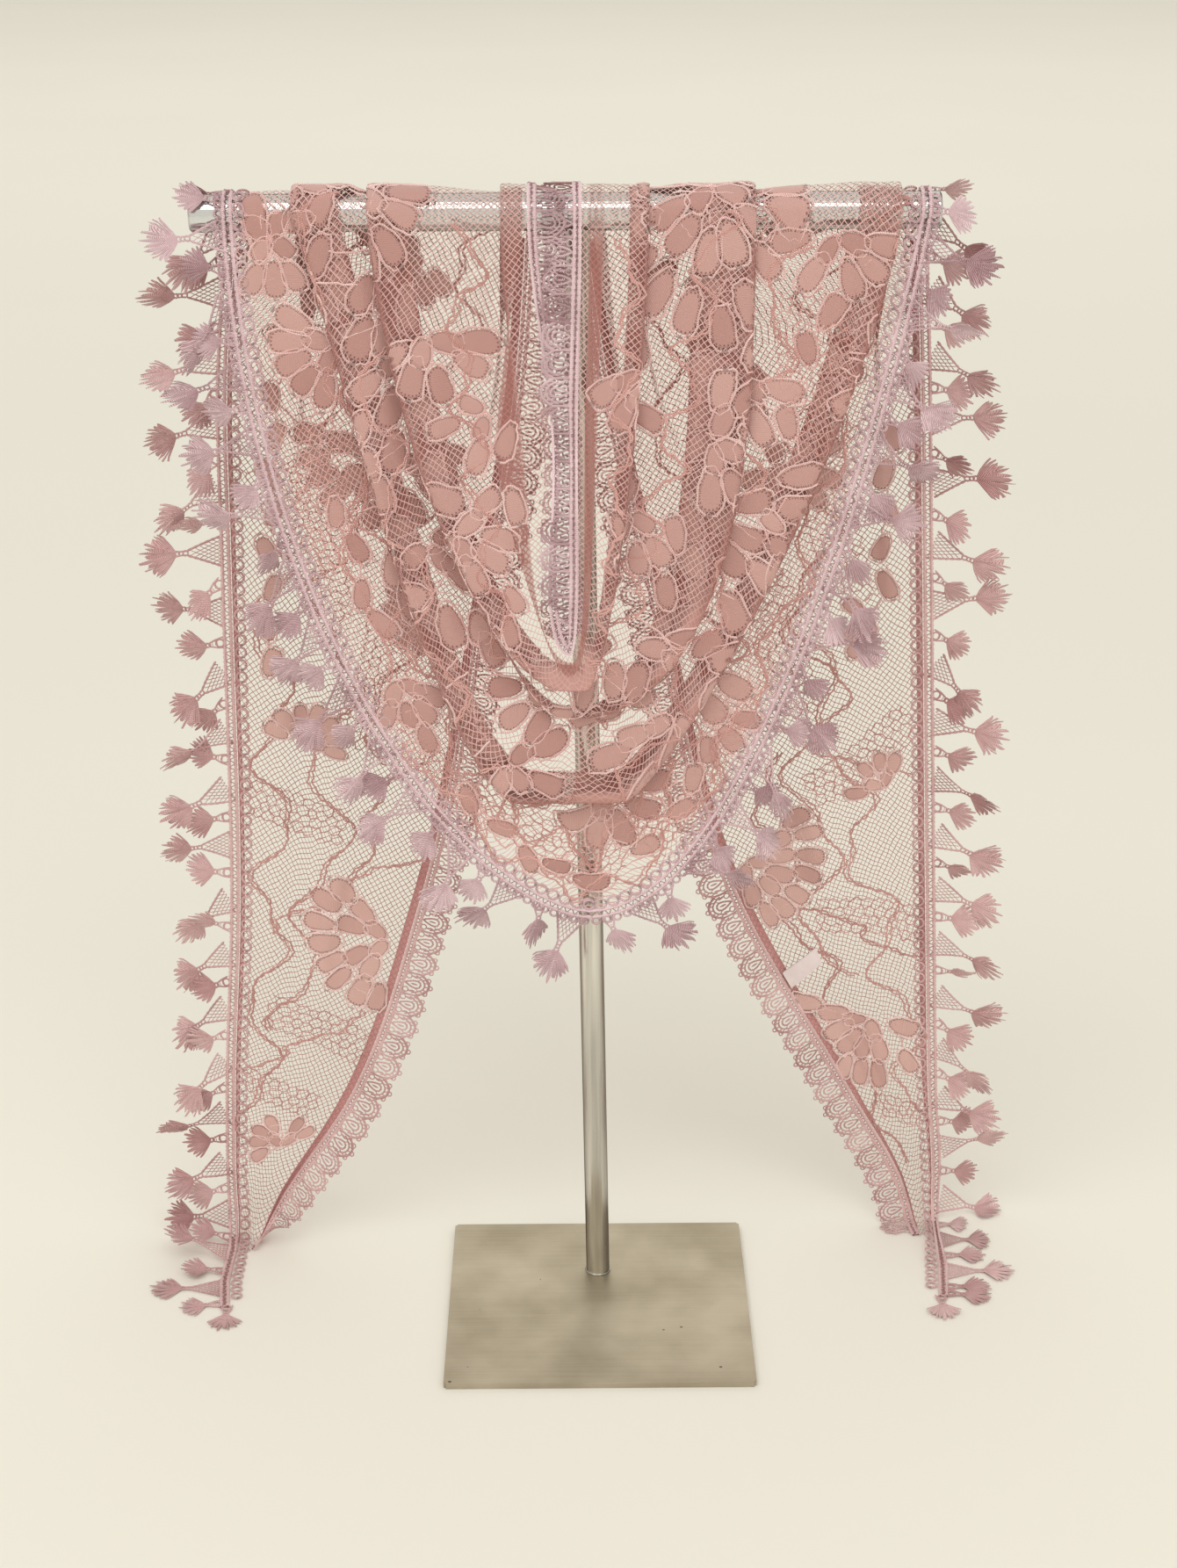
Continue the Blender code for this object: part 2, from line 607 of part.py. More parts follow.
def fringe(name, line, finish, forward=1.0):
    """Fan pendants, short and long in turn, on a corded heading along a short edge."""
    roots, kinds = [], []
    at = FIRST_PENDANT
    while True:
        pendant = (SHORT_PENDANT, LONG_PENDANT)[len(kinds) % 2]
        if at + pendant.root_width > line.run[-1] - FIRST_PENDANT:
            break
        kinds.append(pendant)
        roots.append((at, at + pendant.root_width))
        at += pendant.root_width + PENDANT_GAP
    steps = steps_along(line, roots)
    frames = frames_at(line, steps)
    frames = frames._replace(points=off_the_bar(frames.points))
    teeth = {}
    for k, (root, pendant) in enumerate(zip(roots, kinds)):
        i = int(np.argmin(np.abs(steps - root[0])))
        teeth[i] = pendant_rings(pendant, HANGS[k % len(HANGS)], frames, i, forward)
    return toothed_strip(name, frames, FRINGE_HEAD, teeth, finish)


def scallops(name, line, finish, turns):
    """Scalloped edging, turned back from the cloth's plane as the turns say."""
    count = int((line.run[-1] - 0.003) / SCALLOP_PITCH)
    first = (line.run[-1] - count * SCALLOP_PITCH) / 2
    roots = []
    for k in range(count):
        a, b = first + k * SCALLOP_PITCH, first + (k + 1) * SCALLOP_PITCH
        z = np.interp([a, (a + b) / 2, b], line.run, line.points[:, 2]).max()
        inset = SCALLOP_INSET if z > BAR_Z - 0.001 else 0.0
        roots.append((a + inset, b - inset))
    steps = np.unique(steps_along(line, roots).round(7))
    frames = frames_at(line, steps)
    table = [math.radians(turn.back) for turn in turns]
    back = smooth_table([turn.share for turn in turns], table, steps / line.run[-1])[:, None]
    outward = frames.outward * np.cos(back) - frames.normals * np.sin(back)
    reach = SCALLOP_HEAD + SCALLOP_DEPTH
    lowest = (TRIM_THICK - frames.points[:, 2]) / reach
    outward[:, 2] = np.maximum(outward[:, 2], np.minimum(lowest, 0.0))
    outward = unit(outward)
    normals = unit(np.cross(frames.tangents, outward))
    points = off_the_bar(frames.points)
    frames = frames._replace(points=points, outward=outward, normals=normals)
    bases = strip_bases(frames, back)
    teeth = {}
    for root in roots:
        i = int(np.argmin(np.abs(steps - root[0])))
        o = unit(outward[i] + outward[i + 1])
        n = unit(normals[i] + normals[i + 1]) * TRIM_THICK / 2
        w = unit(frames.points[i + 1] - frames.points[i]) * SCALLOP_TIP / 2
        c = (bases[i] + bases[i + 1]) / 2 + o * reach
        teeth[i] = [[c - w + n, c + w + n, c + w - n, c - w - n]]
    return toothed_strip(name, frames, SCALLOP_HEAD, teeth, finish, back)


def care_label(grid, finish):
    """A folded tag, sewn in at the inner hem of the right tail and lying on its front."""
    columns = np.linalg.norm(np.diff(grid[0], axis=0), axis=1)
    run = np.concatenate([[0], np.cumsum(columns)])
    at = LABEL_SHARE * run[-1]
    points = []
    for a in np.linspace(0.001, 0.001 + LABEL_SIZE[0], 4):
        for b in (-LABEL_SIZE[1] / 2, LABEL_SIZE[1] / 2):
            c = np.interp(at + b - LABEL_RISE * a, run, np.arange(len(run)))
            i = int(c)
            line = mix(grid[:, i], grid[:, i + 1], c - i)
            walk = np.concatenate([[0], np.cumsum(np.linalg.norm(np.diff(line, axis=0), axis=1))])
            points.append([np.interp(a, walk, line[:, k]) for k in range(3)])
    points = np.array(points)
    toward = unit(np.cross(points[7] - points[0], points[6] - points[1]))
    toward = toward if toward[1] < 0 else -toward
    near = WALL / 2 + SEAM_GAP * 2
    verts = np.concatenate([points + toward * near, points + toward * (near + LABEL_THICK)])
    faces = [(1, 9, 8, 0), (6, 14, 15, 7)]
    for i in (0, 2, 4):
        faces += [(i + 2, i + 3, i + 1, i), (i + 9, i + 11, i + 10, i + 8)]
        faces += [(i + 8, i + 10, i + 2, i), (i + 3, i + 11, i + 9, i + 1)]
    return mesh_object("care_label", verts, faces, finish)


# ---------------------------------------------------------------- stand
def stand(steel):
    plate = bmesh.new()
    bmesh.ops.create_cube(plate, size=1.0)
    bmesh.ops.scale(plate, vec=(PLATE_SIDE, PLATE_SIDE, PLATE_THICK), verts=plate.verts)
    bmesh.ops.translate(plate, vec=(0, 0, PLATE_THICK / 2), verts=plate.verts)
    upright = [e for e in plate.edges if abs(e.verts[0].co.z - e.verts[1].co.z) > 1e-4]
    bmesh.ops.bevel(plate, geom=upright, offset=PLATE_CORNER_R, segments=3, affect="EDGES")
    finish_bmesh(plate, "stand_base", steel)

    points, faces = coped_pole()
    mesh_object("stand_pole", points, faces, steel, math.radians(40))

    bar = bmesh.new()
    length = BAR_X[1] - BAR_X[0]
    bmesh.ops.create_cone(
        bar, cap_ends=True, segments=36, radius1=BAR_R, radius2=BAR_R, depth=length
    )
    ends = [e for e in bar.edges if abs(e.verts[0].co.z - e.verts[1].co.z) < 1e-6]
    bmesh.ops.bevel(bar, geom=ends, offset=BAR_END_R, segments=1, affect="EDGES")
    for vert in bar.verts:
        x, y, z = vert.co
        vert.co = (z + (BAR_X[0] + BAR_X[1]) / 2, y + POLE_Y, BAR_Z - x)
    finish_bmesh(bar, "stand_crossbar", steel)


def coped_pole():
    """A leaning round pole whose top is coped to the crossbar's underside."""
    count = POLE_SIDES
    around = [2 * math.pi * (k + 0.5) / count for k in range(count)]
    points = []
    for top in (False, True):
        for angle in around:
            x, y = POLE_R * math.cos(angle), POLE_R * math.sin(angle)
            z = BAR_Z - math.sqrt((BAR_R + SEAM_GAP) ** 2 - y**2) if top else PLATE_THICK + SEAM_GAP
            lean = -math.tan(POLE_LEAN) * (z - PLATE_THICK)
            points.append((x + lean, y + POLE_Y, z))
    faces = [(k, (k + 1) % count, (k + 1) % count + count, k + count) for k in range(count)]
    faces.append(tuple(range(count - 1, -1, -1)))
    # strips along the crossbar, between points that are equally far back
    right = [count + k % count for k in range(-count // 4, count // 4)]
    left = [count + (count // 2 - 1 - k) % count for k in range(-count // 4, count // 4)]
    pairs = list(zip(right, left))
    for (a, b), (c, d) in zip(pairs, pairs[1:]):
        faces.append((b, a, c, d))
    return points, faces


def finish_bmesh(shape, name, finish):
    bmesh.ops.recalc_face_normals(shape, faces=shape.faces)
    mesh = bpy.data.meshes.new(name)
    shape.to_mesh(mesh)
    shape.free()
    mesh.materials.append(finish)
    mesh.shade_smooth()
    mesh.set_sharp_from_angle(angle=math.radians(40))
    made = bpy.data.objects.new(name, mesh)
    bpy.context.scene.collection.objects.link(made)
    return made


def main():
    clear_scene()
    steel = material("brushed_steel", (0.56, 0.52, 0.45), 0.35, 1.0)
    lace = material("rose_lace", (0.60, 0.34, 0.30), 0.75)
    trim = material("lilac_guipure", (0.62, 0.42, 0.46), 0.45)
    paper = material("label_satin", (0.85, 0.76, 0.78), 0.5)
    stand(steel)
    front = front_grid()
    left, right = tail_grid(-1), tail_grid(1)
    wall("shawl_front", front, lace)
    wall("shawl_tail_left", left, lace)
    wall("shawl_tail_right", right, lace)
    fringe("fringe_front", edge(front, -1, -2), trim, -1.0)
    fringe("fringe_tail_left", edge(left, -1, -2, LEFT_FRINGE_END), trim, -1.0)
    fringe("fringe_tail_right", edge(right, -1, -2, RIGHT_FRINGE_END), trim)
    scallops("scallop_cowl", edge(front, 0, 1), trim, COWL_TURNS)
    scallops("scallop_tail_left", edge(left, 0, 1), trim, LEFT_TAIL_TURNS)
    scallops("scallop_tail_right", edge(right, 0, 1), trim, RIGHT_TAIL_TURNS)
    care_label(right, paper)


main()
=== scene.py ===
"""Looks of the lace shawl on its steel T-bar stand: net, satin flowers, cords and trims.

Metres, +Z up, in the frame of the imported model. The cloth's folds are worked out from the
same named lines as its solids, with more steps, and everything sewn or worked on the cloth
is laid out in millimetres along and across it.
"""

import math
from collections import namedtuple

import bpy
import numpy as np
from mathutils import Matrix, Vector


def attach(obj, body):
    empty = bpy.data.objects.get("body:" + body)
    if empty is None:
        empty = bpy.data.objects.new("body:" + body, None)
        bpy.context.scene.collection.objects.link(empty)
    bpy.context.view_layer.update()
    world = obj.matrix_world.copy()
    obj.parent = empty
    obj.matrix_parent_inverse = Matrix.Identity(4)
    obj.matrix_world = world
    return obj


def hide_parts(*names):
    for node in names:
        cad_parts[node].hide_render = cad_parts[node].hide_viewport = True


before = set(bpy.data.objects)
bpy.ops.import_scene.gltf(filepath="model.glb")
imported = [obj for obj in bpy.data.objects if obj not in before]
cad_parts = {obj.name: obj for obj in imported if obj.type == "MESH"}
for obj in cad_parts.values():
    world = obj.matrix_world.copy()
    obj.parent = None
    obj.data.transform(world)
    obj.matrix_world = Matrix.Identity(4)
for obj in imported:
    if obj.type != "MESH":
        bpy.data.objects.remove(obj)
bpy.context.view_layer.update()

MM = 0.001
UP = np.array([0.0, 0.0, 1.0])


# ---------------------------------------------------------------- driving sizes (metres)
PLATE_THICK = 0.003
POLE_R = 0.006
POLE_Y = 0.0295  # the pole stands behind the plate's middle
BAR_R = 0.0085
BAR_Z = 0.550
WALL = 0.0010  # thickness of the cloth's wall
SEAM_GAP = 0.0003
LAYER_PITCH = 0.0014  # from one layer of a pleat to the next, on the bar
BAR_CHORD = 0.0003  # what the steps round the bar take off the gap under the cloth
FIRST_LAYER = SEAM_GAP + BAR_CHORD + WALL / 2  # middle of the layer that lies on the bar
FLOOR_GAP = 0.0003


# ---------------------------------------------------------------- folds of the front
# The cloth hangs in nested U-shaped folds. One row for each line that runs along them,
# from the scalloped cowl edge to the fringed edge, in millimetres. "out" lines are a
# pleat's outer fold and "in" lines its inner, hidden one.
# bar_x: where the line leaves the bar; power_x, power_z: how square its curve is, across
# and down; flat: how much of its bottom is level; waist: sideways shift half way down;
# before, after: layers of cloth under it on the bar, before and after the fold;
# swell: extra depth half way down.
Fold = namedtuple("Fold", "name bar_x power_x power_z flat waist before after swell")
LEFT_FOLDS = [
    Fold("cowl_edge", -30.5, 2.6, 3.0, 0, 9, 2, 2, -2),
    Fold("roll_out", -43.0, 2.3, 2.2, 0, 4, 2, 1, 1),
    Fold("roll_in", -31.5, 2.3, 2.2, 0, -16, 1, 0, 1),
    Fold("cowl_fold_out", -102.5, 1.6, 1.5, 5, 0, 2, 1, 3),
    Fold("cowl_fold_in", -83.0, 1.6, 1.5, 5, 0, 1, 0, 1),
    Fold("side_fold_out", -87.0, 1.6, 1.5, 5, 0, 0, 0, 0),
    Fold("side_fold_in", -94.0, 1.6, 1.5, 5, 0, 0, 0, 0),
    Fold("deep_fold_out", -136.5, 1.7, 0.85, 26, 0, 2, 1, 2),
    Fold("deep_fold_in", -113.0, 1.8, 0.95, 20, 0, 1, 0, 0),
    Fold("fringed_edge", -161.5, 1.6, 1.9, 0, 0, 0, 0, 1),
]
RIGHT_FOLDS = [
    Fold("cowl_edge", -5.5, 2.6, 3.0, 0, -2, 2, 2, 1),
    Fold("roll_out", -1.0, 2.4, 2.4, 0, -2, 2, 2, 1),
    Fold("roll_in", 4.5, 2.2, 2.0, 0, -2, 2, 2, 1),
    Fold("cowl_fold_out", 25.5, 1.5, 1.4, 8, 0, 2, 1, 3),
    Fold("cowl_fold_in", 15.0, 1.6, 1.5, 5, 0, 1, 0, 1),
    Fold("side_fold_out", 73.0, 2.0, 3.0, 5, 0, 2, 1, 2),
    Fold("side_fold_in", 43.0, 2.0, 3.0, 5, 0, 1, 0, 0),
    Fold("deep_fold_out", 138.5, 1.25, 1.3, 25, 0, 2, 1, 2),
    Fold("deep_fold_in", 118.0, 1.3, 1.3, 20, 0, 1, 0, 0),
    Fold("fringed_edge", 146.0, 2.0, 1.1, 0, 0, 0, 0, 1),
]
# The lowest point of each line: where it is, how far forward of the bar's face, and the
# share of the way down at which the bar's tight layers have come loose.
Low = namedtuple("Low", "x z before after loose")
LOWEST = [
    Low(-12, 351, 27.4, 27.4, 0.98),
    Low(-11, 347, 27.8, 27.8, 0.98),
    Low(-12, 341, 28.2, 28.2, 0.98),
    Low(-12, 334, 30.5, 27.0, 0.78),
    Low(-11, 346, 23.5, 20.5, 0.78),
    Low(-11, 317, 19.5, 17.0, 0.78),
    Low(-11, 323, 14.5, 12.5, 0.78),
    Low(-12, 272, 15.0, 12.5, 0.78),
    Low(-11, 288, 9.5, 7.0, 0.78),
    Low(-4, 213, 3.0, 3.0, 0.78),
]
LOOSENING = 0.38  # share of the way that this takes
BETWEEN = (1, 0, 3, 0, 3, 0, 3, 0, 3)  # extra rows inside each layer between two lines
FOLD_REACH = 1.0 * MM  # rows beside a fold line
CLIMB_GAP = 1.3 * MM  # clear of the folds on each side where a layer climbs over them
STANDS_UP = 3.5 * MM  # a fold that has drawn out to less than this stands up as a step
HANGS_FREE = 1.6  # how fast the layers come to hang free, down from the bar
FRONT_STEPS = 88
BOTTOM_CROWD = 1.25  # the steps lie closer together where the folds turn, at the bottom
WRAP_STEPS = 5  # over each quarter of the bar


# ---------------------------------------------------------------- the tails
# One row for each section of a tail, from the back of the bar (share 0) to its tip (1),
# in millimetres: x of its inner, scalloped edge and of its outer, fringed edge.
Section = namedtuple("Section", "share inner_x outer_x")
LEFT_TAIL = [
    Section(0.00, -30.5, -161.5),
    Section(0.14, -37.0, -171.0),
    Section(0.30, -52.0, -174.5),
    Section(0.63, -91.0, -181.0),
    Section(0.83, -131.0, -190.0),
    Section(0.95, -173.0, -192.5),
    Section(1.00, -184.0, -191.0),
]
RIGHT_TAIL = [
    Section(0.00, -5.5, 146.0),
    Section(0.14, 6.0, 152.0),
    Section(0.30, 26.0, 157.5),
    Section(0.63, 74.0, 168.5),
    Section(0.83, 134.0, 175.5),
    Section(0.95, 168.0, 181.0),
    Section(1.00, 173.0, 180.0),
]
TAIL_STEPS = 46
TAIL_FOLDS_SHUT = 0.13  # share of the tail's length at which its folds have drawn out
TAIL_SHUT_STEPS = 8
TAIL_OPENS_BY = 0.36  # where the pleats' layers have spread out side by side
TAIL_EASES = (0.16, 0.45)  # where they come together again in one surface
TAIL_WAVE = 0.28  # depth of the waves that are left of a pleat, per width of it
TAIL_WAVE_MOST = 0.0075
TAIL_FLATTENS = (0.55, 0.93)  # where the waves run out
TAIL_BEND_R = 0.014  # where the tail turns forward onto the floor
TAIL_FLOOR_RUN = 0.008
# Each side: its fold lines, its tail's sections, and where the tail meets the floor.
Side = namedtuple("Side", "folds sections foot_y")
LEFT = Side(LEFT_FOLDS, LEFT_TAIL, 0.076)
RIGHT = Side(RIGHT_FOLDS, RIGHT_TAIL, 0.087)


# ---------------------------------------------------------------- trims
FRINGE_HEAD = 0.0045  # width of the fringe's corded heading
TRIM_THICK = 0.0009
TRIM_GAP = 0.0006  # seam between the cloth's edge and a heading
BAR_LIFT = 0.0005  # the headings' short straight steps stand this clear of the bar
PENDANT_GAP = 0.0072  # between the roots of neighbouring pendants
FIRST_PENDANT = 0.0040
Pendant = namedtuple("Pendant", "length root_width")
LONG_PENDANT = Pendant(0.0385, 0.0110)
SHORT_PENDANT = Pendant(0.0235, 0.0060)
# One row for each pendant in turn: how far it swings along the edge and leans forward,
# as slopes, and how far it is twisted, in degrees.
Hang = namedtuple("Hang", "swing lean twist")
HANGS = [
    Hang(0.00, 0.10, 12),
    Hang(0.08, 0.22, -38),
    Hang(-0.05, 0.02, 25),
    Hang(0.04, 0.16, 48),
    Hang(-0.09, 0.12, -20),
    Hang(-0.02, 0.25, -55),
    Hang(0.06, 0.05, 8),
]
PENDANT_DROOP = 0.30  # how much the pendants' own weight turns them down, as a slope
# Past each tail's tip the fringe's heading runs on over the floor, forward.
LEFT_FRINGE_END = ((-0.1915, 0.0240), (-0.1885, -0.0020))  # (x, y)
RIGHT_FRINGE_END = ((0.1780, 0.0340), (0.1745, 0.0030))

SCALLOP_HEAD = 0.0035
SCALLOP_PITCH = 0.0125
SCALLOP_SPARE = 0.003  # least length of an edge that is left over at its ends
MOTIF_WIDE = 0.0125  # the width that the scallop's motif is drawn at
SCALLOP_DEPTH = 0.0140
# How far an edging is turned back from the cloth's plane, in degrees, at shares of its
# length: round the slot from the top of the bar on the left to it on the right, and down
# each tail. In the slot its left branch stands more edge on than its right one.
Turn = namedtuple("Turn", "share back")
SLOT_TURNS = [
    Turn(0.00, 9),
    Turn(0.10, 14),
    Turn(0.20, 26),
    Turn(0.30, 34),
    Turn(0.42, 30),
    Turn(0.50, 20),
    Turn(0.60, 10),
    Turn(1.00, 4),
]
LEFT_TAIL_TURNS = [
    Turn(0.00, -9),
    Turn(0.03, -9),
    Turn(0.06, -14),
    Turn(0.20, -8),
    Turn(0.35, 0),
    Turn(1.00, 0),
]
RIGHT_TAIL_TURNS = [
    Turn(0.00, -2),
    Turn(0.04, -4),
    Turn(0.20, -3),
    Turn(0.35, 0),
    Turn(1.00, 0),
]

LABEL_SIZE = (0.0200, 0.0105)
LABEL_SHARE = 0.72  # how far down the right tail it is sewn
LABEL_RISE = 0.36  # it slopes up away from the hem


def smooth(x):
    """0 to 1, level at both ends."""
    x = np.clip(x, 0.0, 1.0)
    return x * x * (3.0 - 2.0 * x)


def mix(a, b, share):
    return a + (b - a) * share


def unit(v):
    return v / np.maximum(np.linalg.norm(v, axis=-1, keepdims=True), 1e-12)


def hermite(t, a, slope_a, b, slope_b):
    """A cubic curve from a to b with the given slopes at its ends."""
    return (
        (2 * t**3 - 3 * t**2 + 1) * a
        + (t**3 - 2 * t**2 + t) * slope_a
        + (3 * t**2 - 2 * t**3) * b
        + (t**3 - t**2) * slope_b
    )


def turned(x, y, angle):
    """A flat place turned by an angle."""
    return x * math.cos(angle) - y * math.sin(angle), x * math.sin(angle) + y * math.cos(angle)


def read_line(at, run, points):
    """A line's points at given runs along it."""
    return np.stack([np.interp(at, run, points[:, k]) for k in range(3)], -1)


def grid_quads(lines, columns):
    """Faces of a grid of points, line after line."""
    k = (np.arange(lines - 1)[:, None] * columns + np.arange(columns - 1)[None]).reshape(-1)
    return np.stack([k, k + 1, k + 1 + columns, k + columns], -1)


def hanging_curve(fold, low, shares):
    """(x, z) of a line that hangs from the bar (share 0) to its lowest point (1)."""
    turn = np.linspace(0.0, math.pi / 2, 400)
    reach = fold.bar_x - low.x
    level = math.copysign(fold.flat, reach)
    x = low.x + level + (reach - level) * np.cos(turn) ** (2 / fold.power_x)
    z = BAR_Z / MM - (BAR_Z / MM - low.z) * np.sin(turn) ** (2 / fold.power_z)
    x = np.append(x, low.x)
    z = np.append(z, low.z)
    run = np.concatenate([[0.0], np.cumsum(np.hypot(np.diff(x), np.diff(z)))])
    run /= run[-1]
    x = np.interp(shares, run, x)
    z = np.interp(shares, run, z)
    return np.stack([x + fold.waist * np.sin(math.pi * shares) ** 2, z], -1) * MM


def front_lines(folds, shares):
    """Places of the fold lines on one side: (line, share, 2) and depths before and after."""
    places, before, after = [], [], []
    sag = smooth(shares)
    for fold, low in zip(folds, LOWEST):
        pitch = LAYER_PITCH * smooth((low.loose - shares) / LOOSENING)
        places.append(hanging_curve(fold, low, shares))
        belly = fold.swell * MM * np.sin(math.pi * shares) ** 2
        before.append(mix(FIRST_LAYER, low.before * MM, sag) + belly + fold.before * pitch)
        after.append(mix(FIRST_LAYER, low.after * MM, sag) + belly + fold.after * pitch)
    return np.array(places), np.array(before), np.array(after)


def rows_across(places, before, after, ease):
    """Rows of (x, z, depth) across the cloth, from the fold lines' places and depths.

    ease is 1 where the layers hang free, and 0 where they lie tight on the bar, so that a
    layer there climbs over the next pleat only after it has cleared the last one.
    """
    count = len(places)
    heading = unit(places[-1] - places[0])
    along = ((places - places[0]) * heading).sum(-1)
    rows = []
    for i in range(count - 1):
        step = places[i + 1] - places[i]
        length = np.maximum(np.linalg.norm(step, axis=-1), 1e-6)
        reach = np.minimum(FOLD_REACH / length, 0.3)
        run = along[i + 1] - along[i]
        rising = (run > 0) & (i % 2 == 0)
        run = np.where(np.abs(run) < 1e-6, 1e-6, run)
        start = (along[: i + 1].max(0) + CLIMB_GAP - along[i]) / run
        end = (along[i + 1 :].min(0) - CLIMB_GAP - along[i]) / run
        low, room = reach * 1.5, 1.0 - reach * 3.0
        start = np.where(rising, np.clip(start, low, low + 0.65 * room), low + 0.2 * room)
        last = low + 0.85 * room
        end = np.where(rising, np.clip(end, start + 0.1 * room, last), low + 0.5 * room)
        even = [mix(reach, 1 - reach, (k + 1) / (BETWEEN[i] + 1)) for k in range(BETWEEN[i])]
        tight = [start, end, (low + room + end) / 2] if BETWEEN[i] == 3 else even
        inner = [mix(t, e, ease) for t, e in zip(tight, even)]
        parts = [reach if i else 0.0] + inner + [1.0 - reach] * (i < count - 2)
        for part in parts:
            share = part + 0 * length
            climb = smooth((share - start) / (end - start))
            climb = np.where(rising, mix(climb, share, ease), share)
            depth = mix(after[i], before[i + 1], climb)
            rows.append(np.concatenate([places[i] + step * share[..., None], depth[..., None]], -1))
    rows.append(np.concatenate([places[-1], before[-1][..., None]], -1))
    return np.array(rows)


def stand_up(rows):
    """Turns each folded-back layer that has drawn out to almost nothing into a step."""
    for i in range(1, len(BETWEEN), 2):
        first = sum(2 + between for between in BETWEEN[:i])
        above, start, end, below = rows[first - 1 : first + 3].copy()
        drawn = np.linalg.norm((end - start)[..., :2], axis=-1, keepdims=True)
        step = 1.0 - smooth(drawn / STANDS_UP)
        rows[first] = mix(start, mix(above, below, 1 / 3), step)
        rows[first + 1] = mix(end, mix(above, below, 2 / 3), step)
    return rows


def front_points(side, shares):
    """Points of the front on one side, (row, share, 3), from the bar's face downwards."""
    rows = stand_up(rows_across(*front_lines(side.folds, shares), smooth(shares * HANGS_FREE)))
    x, z, depth = rows[..., 0], rows[..., 1], rows[..., 2]
    return np.stack([x, POLE_Y - BAR_R - depth, z], -1)


def bar_points(side, angles):
    """Points on the bar at angles from its front (0) over its top (90) to its back (180)."""
    rows = rows_across(*front_lines(side.folds, np.zeros(1)), np.zeros(1))[:, 0]
    x, depth = rows[:, None, 0], rows[:, None, 2]
    radius = BAR_R + depth
    y = POLE_Y - radius * np.cos(angles)
    z = BAR_Z + radius * np.sin(angles)
    return np.stack([x + 0 * y, y, z], -1)


def tail_path(foot_y, shares):
    """(y, z) and outward normal (y, z) of a tail's side view, from the bar to its tip."""
    top = np.array([POLE_Y + BAR_R, BAR_Z])
    lean = math.atan2(foot_y - top[0], BAR_Z)
    foot = np.array([foot_y, TAIL_BEND_R * (1 + math.sin(lean)) + FLOOR_GAP + WALL / 2])
    down = foot - top
    straight = np.linalg.norm(down)
    heading = math.atan2(down[1], down[0])
    bend = heading + math.pi  # from falling to running forward along the floor
    arc = TAIL_BEND_R * bend
    s = shares * (straight + arc + TAIL_FLOOR_RUN)
    along = np.minimum(s, straight)
    turned = np.clip((s - straight) / TAIL_BEND_R, 0.0, bend)
    past = np.clip(s - straight - arc, 0.0, None)
    angle = heading - turned
    y = top[0] + math.cos(heading) * along - past
    z = top[1] + math.sin(heading) * along
    y = y + TAIL_BEND_R * (np.sin(heading) - np.sin(angle))
    z = z + TAIL_BEND_R * (np.cos(angle) - np.cos(heading))
    return y, z, -np.sin(angle), np.cos(angle)


def tail_points(side, shares):
    """Points of a tail, (row, share, 3), from the bar's back down to its tip."""
    sections, folds = side.sections, side.folds
    at = [section.share for section in sections]
    inner = smooth_table(at, [section.inner_x * MM for section in sections], shares)
    outer = smooth_table(at, [section.outer_x * MM for section in sections], shares)
    bar_x = np.array([fold.bar_x * MM for fold in folds])
    width = np.abs(np.diff(bar_x))
    cut = np.concatenate([[0.0], np.cumsum(width)]) / width.sum()
    on_bar = (bar_x - bar_x[0]) / (bar_x[-1] - bar_x[0])
    places = inner + on_bar[:, None] * (outer - inner)
    places = np.stack([places, 0.0 * places], -1)
    before = [FIRST_LAYER + LAYER_PITCH * fold.before + 0 * shares for fold in folds]
    after = [FIRST_LAYER + LAYER_PITCH * fold.after + 0 * shares for fold in folds]
    pleated = rows_across(places, np.array(before), np.array(after), 0.0 * shares)
    crests = [0.0] * len(folds)
    for i in range(1, len(folds) - 1, 2):
        crests[i] = min(TAIL_WAVE * min(width[i - 1], width[i]), TAIL_WAVE_MOST)
    even = rows_across(shut_folds(places), np.array(before), np.array(after), 0.0 * shares)
    spread = np.linspace(0.0, 1.0, len(pleated))
    wave = wave_through(cut, crests, spread)[:, None] * np.abs(outer - inner) / width.sum()
    shut = smooth(shares / TAIL_FOLDS_SHUT)
    opened = smooth((shares - TAIL_FOLDS_SHUT) / (TAIL_OPENS_BY - TAIL_FOLDS_SHUT))
    first, last = TAIL_EASES
    eased = smooth((shares - first) / (last - first))
    first, last = TAIL_FLATTENS
    flat = smooth((shares - first) / (last - first))
    x = mix(pleated[..., 0], even[..., 0], shut)
    x = mix(x, inner + spread[:, None] * (outer - inner), opened)
    depth = mix(pleated[..., 2], even[..., 2], shut)
    depth = mix(depth, FIRST_LAYER + wave, eased) * (1.0 - flat)
    rows = stand_up(np.stack([x, 0.0 * x, depth], -1))
    x, depth = rows[..., 0], rows[..., 2]
    y, z, normal_y, normal_z = tail_path(side.foot_y, shares)
    return np.stack([x, y + normal_y * depth, z + normal_z * depth], -1)


def shut_folds(places):
    """Fold lines whose folded-back layers have drawn out to nothing."""
    across = places[-1] - places[0]
    widths = (np.diff(places, axis=0) * np.sign(across)).sum(-1, keepdims=True)
    reached = np.cumsum(np.maximum(widths, 0.0), axis=0)
    met = places.copy()
    met[1:] = places[0] + across * reached / reached[-1]
    return met


def step_of(at, shares):
    """The step of a table that each share is in, how long it is, and how far along it."""
    at = np.array(at)
    index = np.clip(np.searchsorted(at, shares, side="right") - 1, 0, len(at) - 2)
    span = at[index + 1] - at[index]
    return index, span, (shares - at[index]) / span


def wave_through(at, heights, shares):
    """A wave that turns at each of the given heights."""
    heights = np.array(heights)
    index, _, t = step_of(at, shares)
    return mix(heights[index], heights[index + 1], smooth(t))


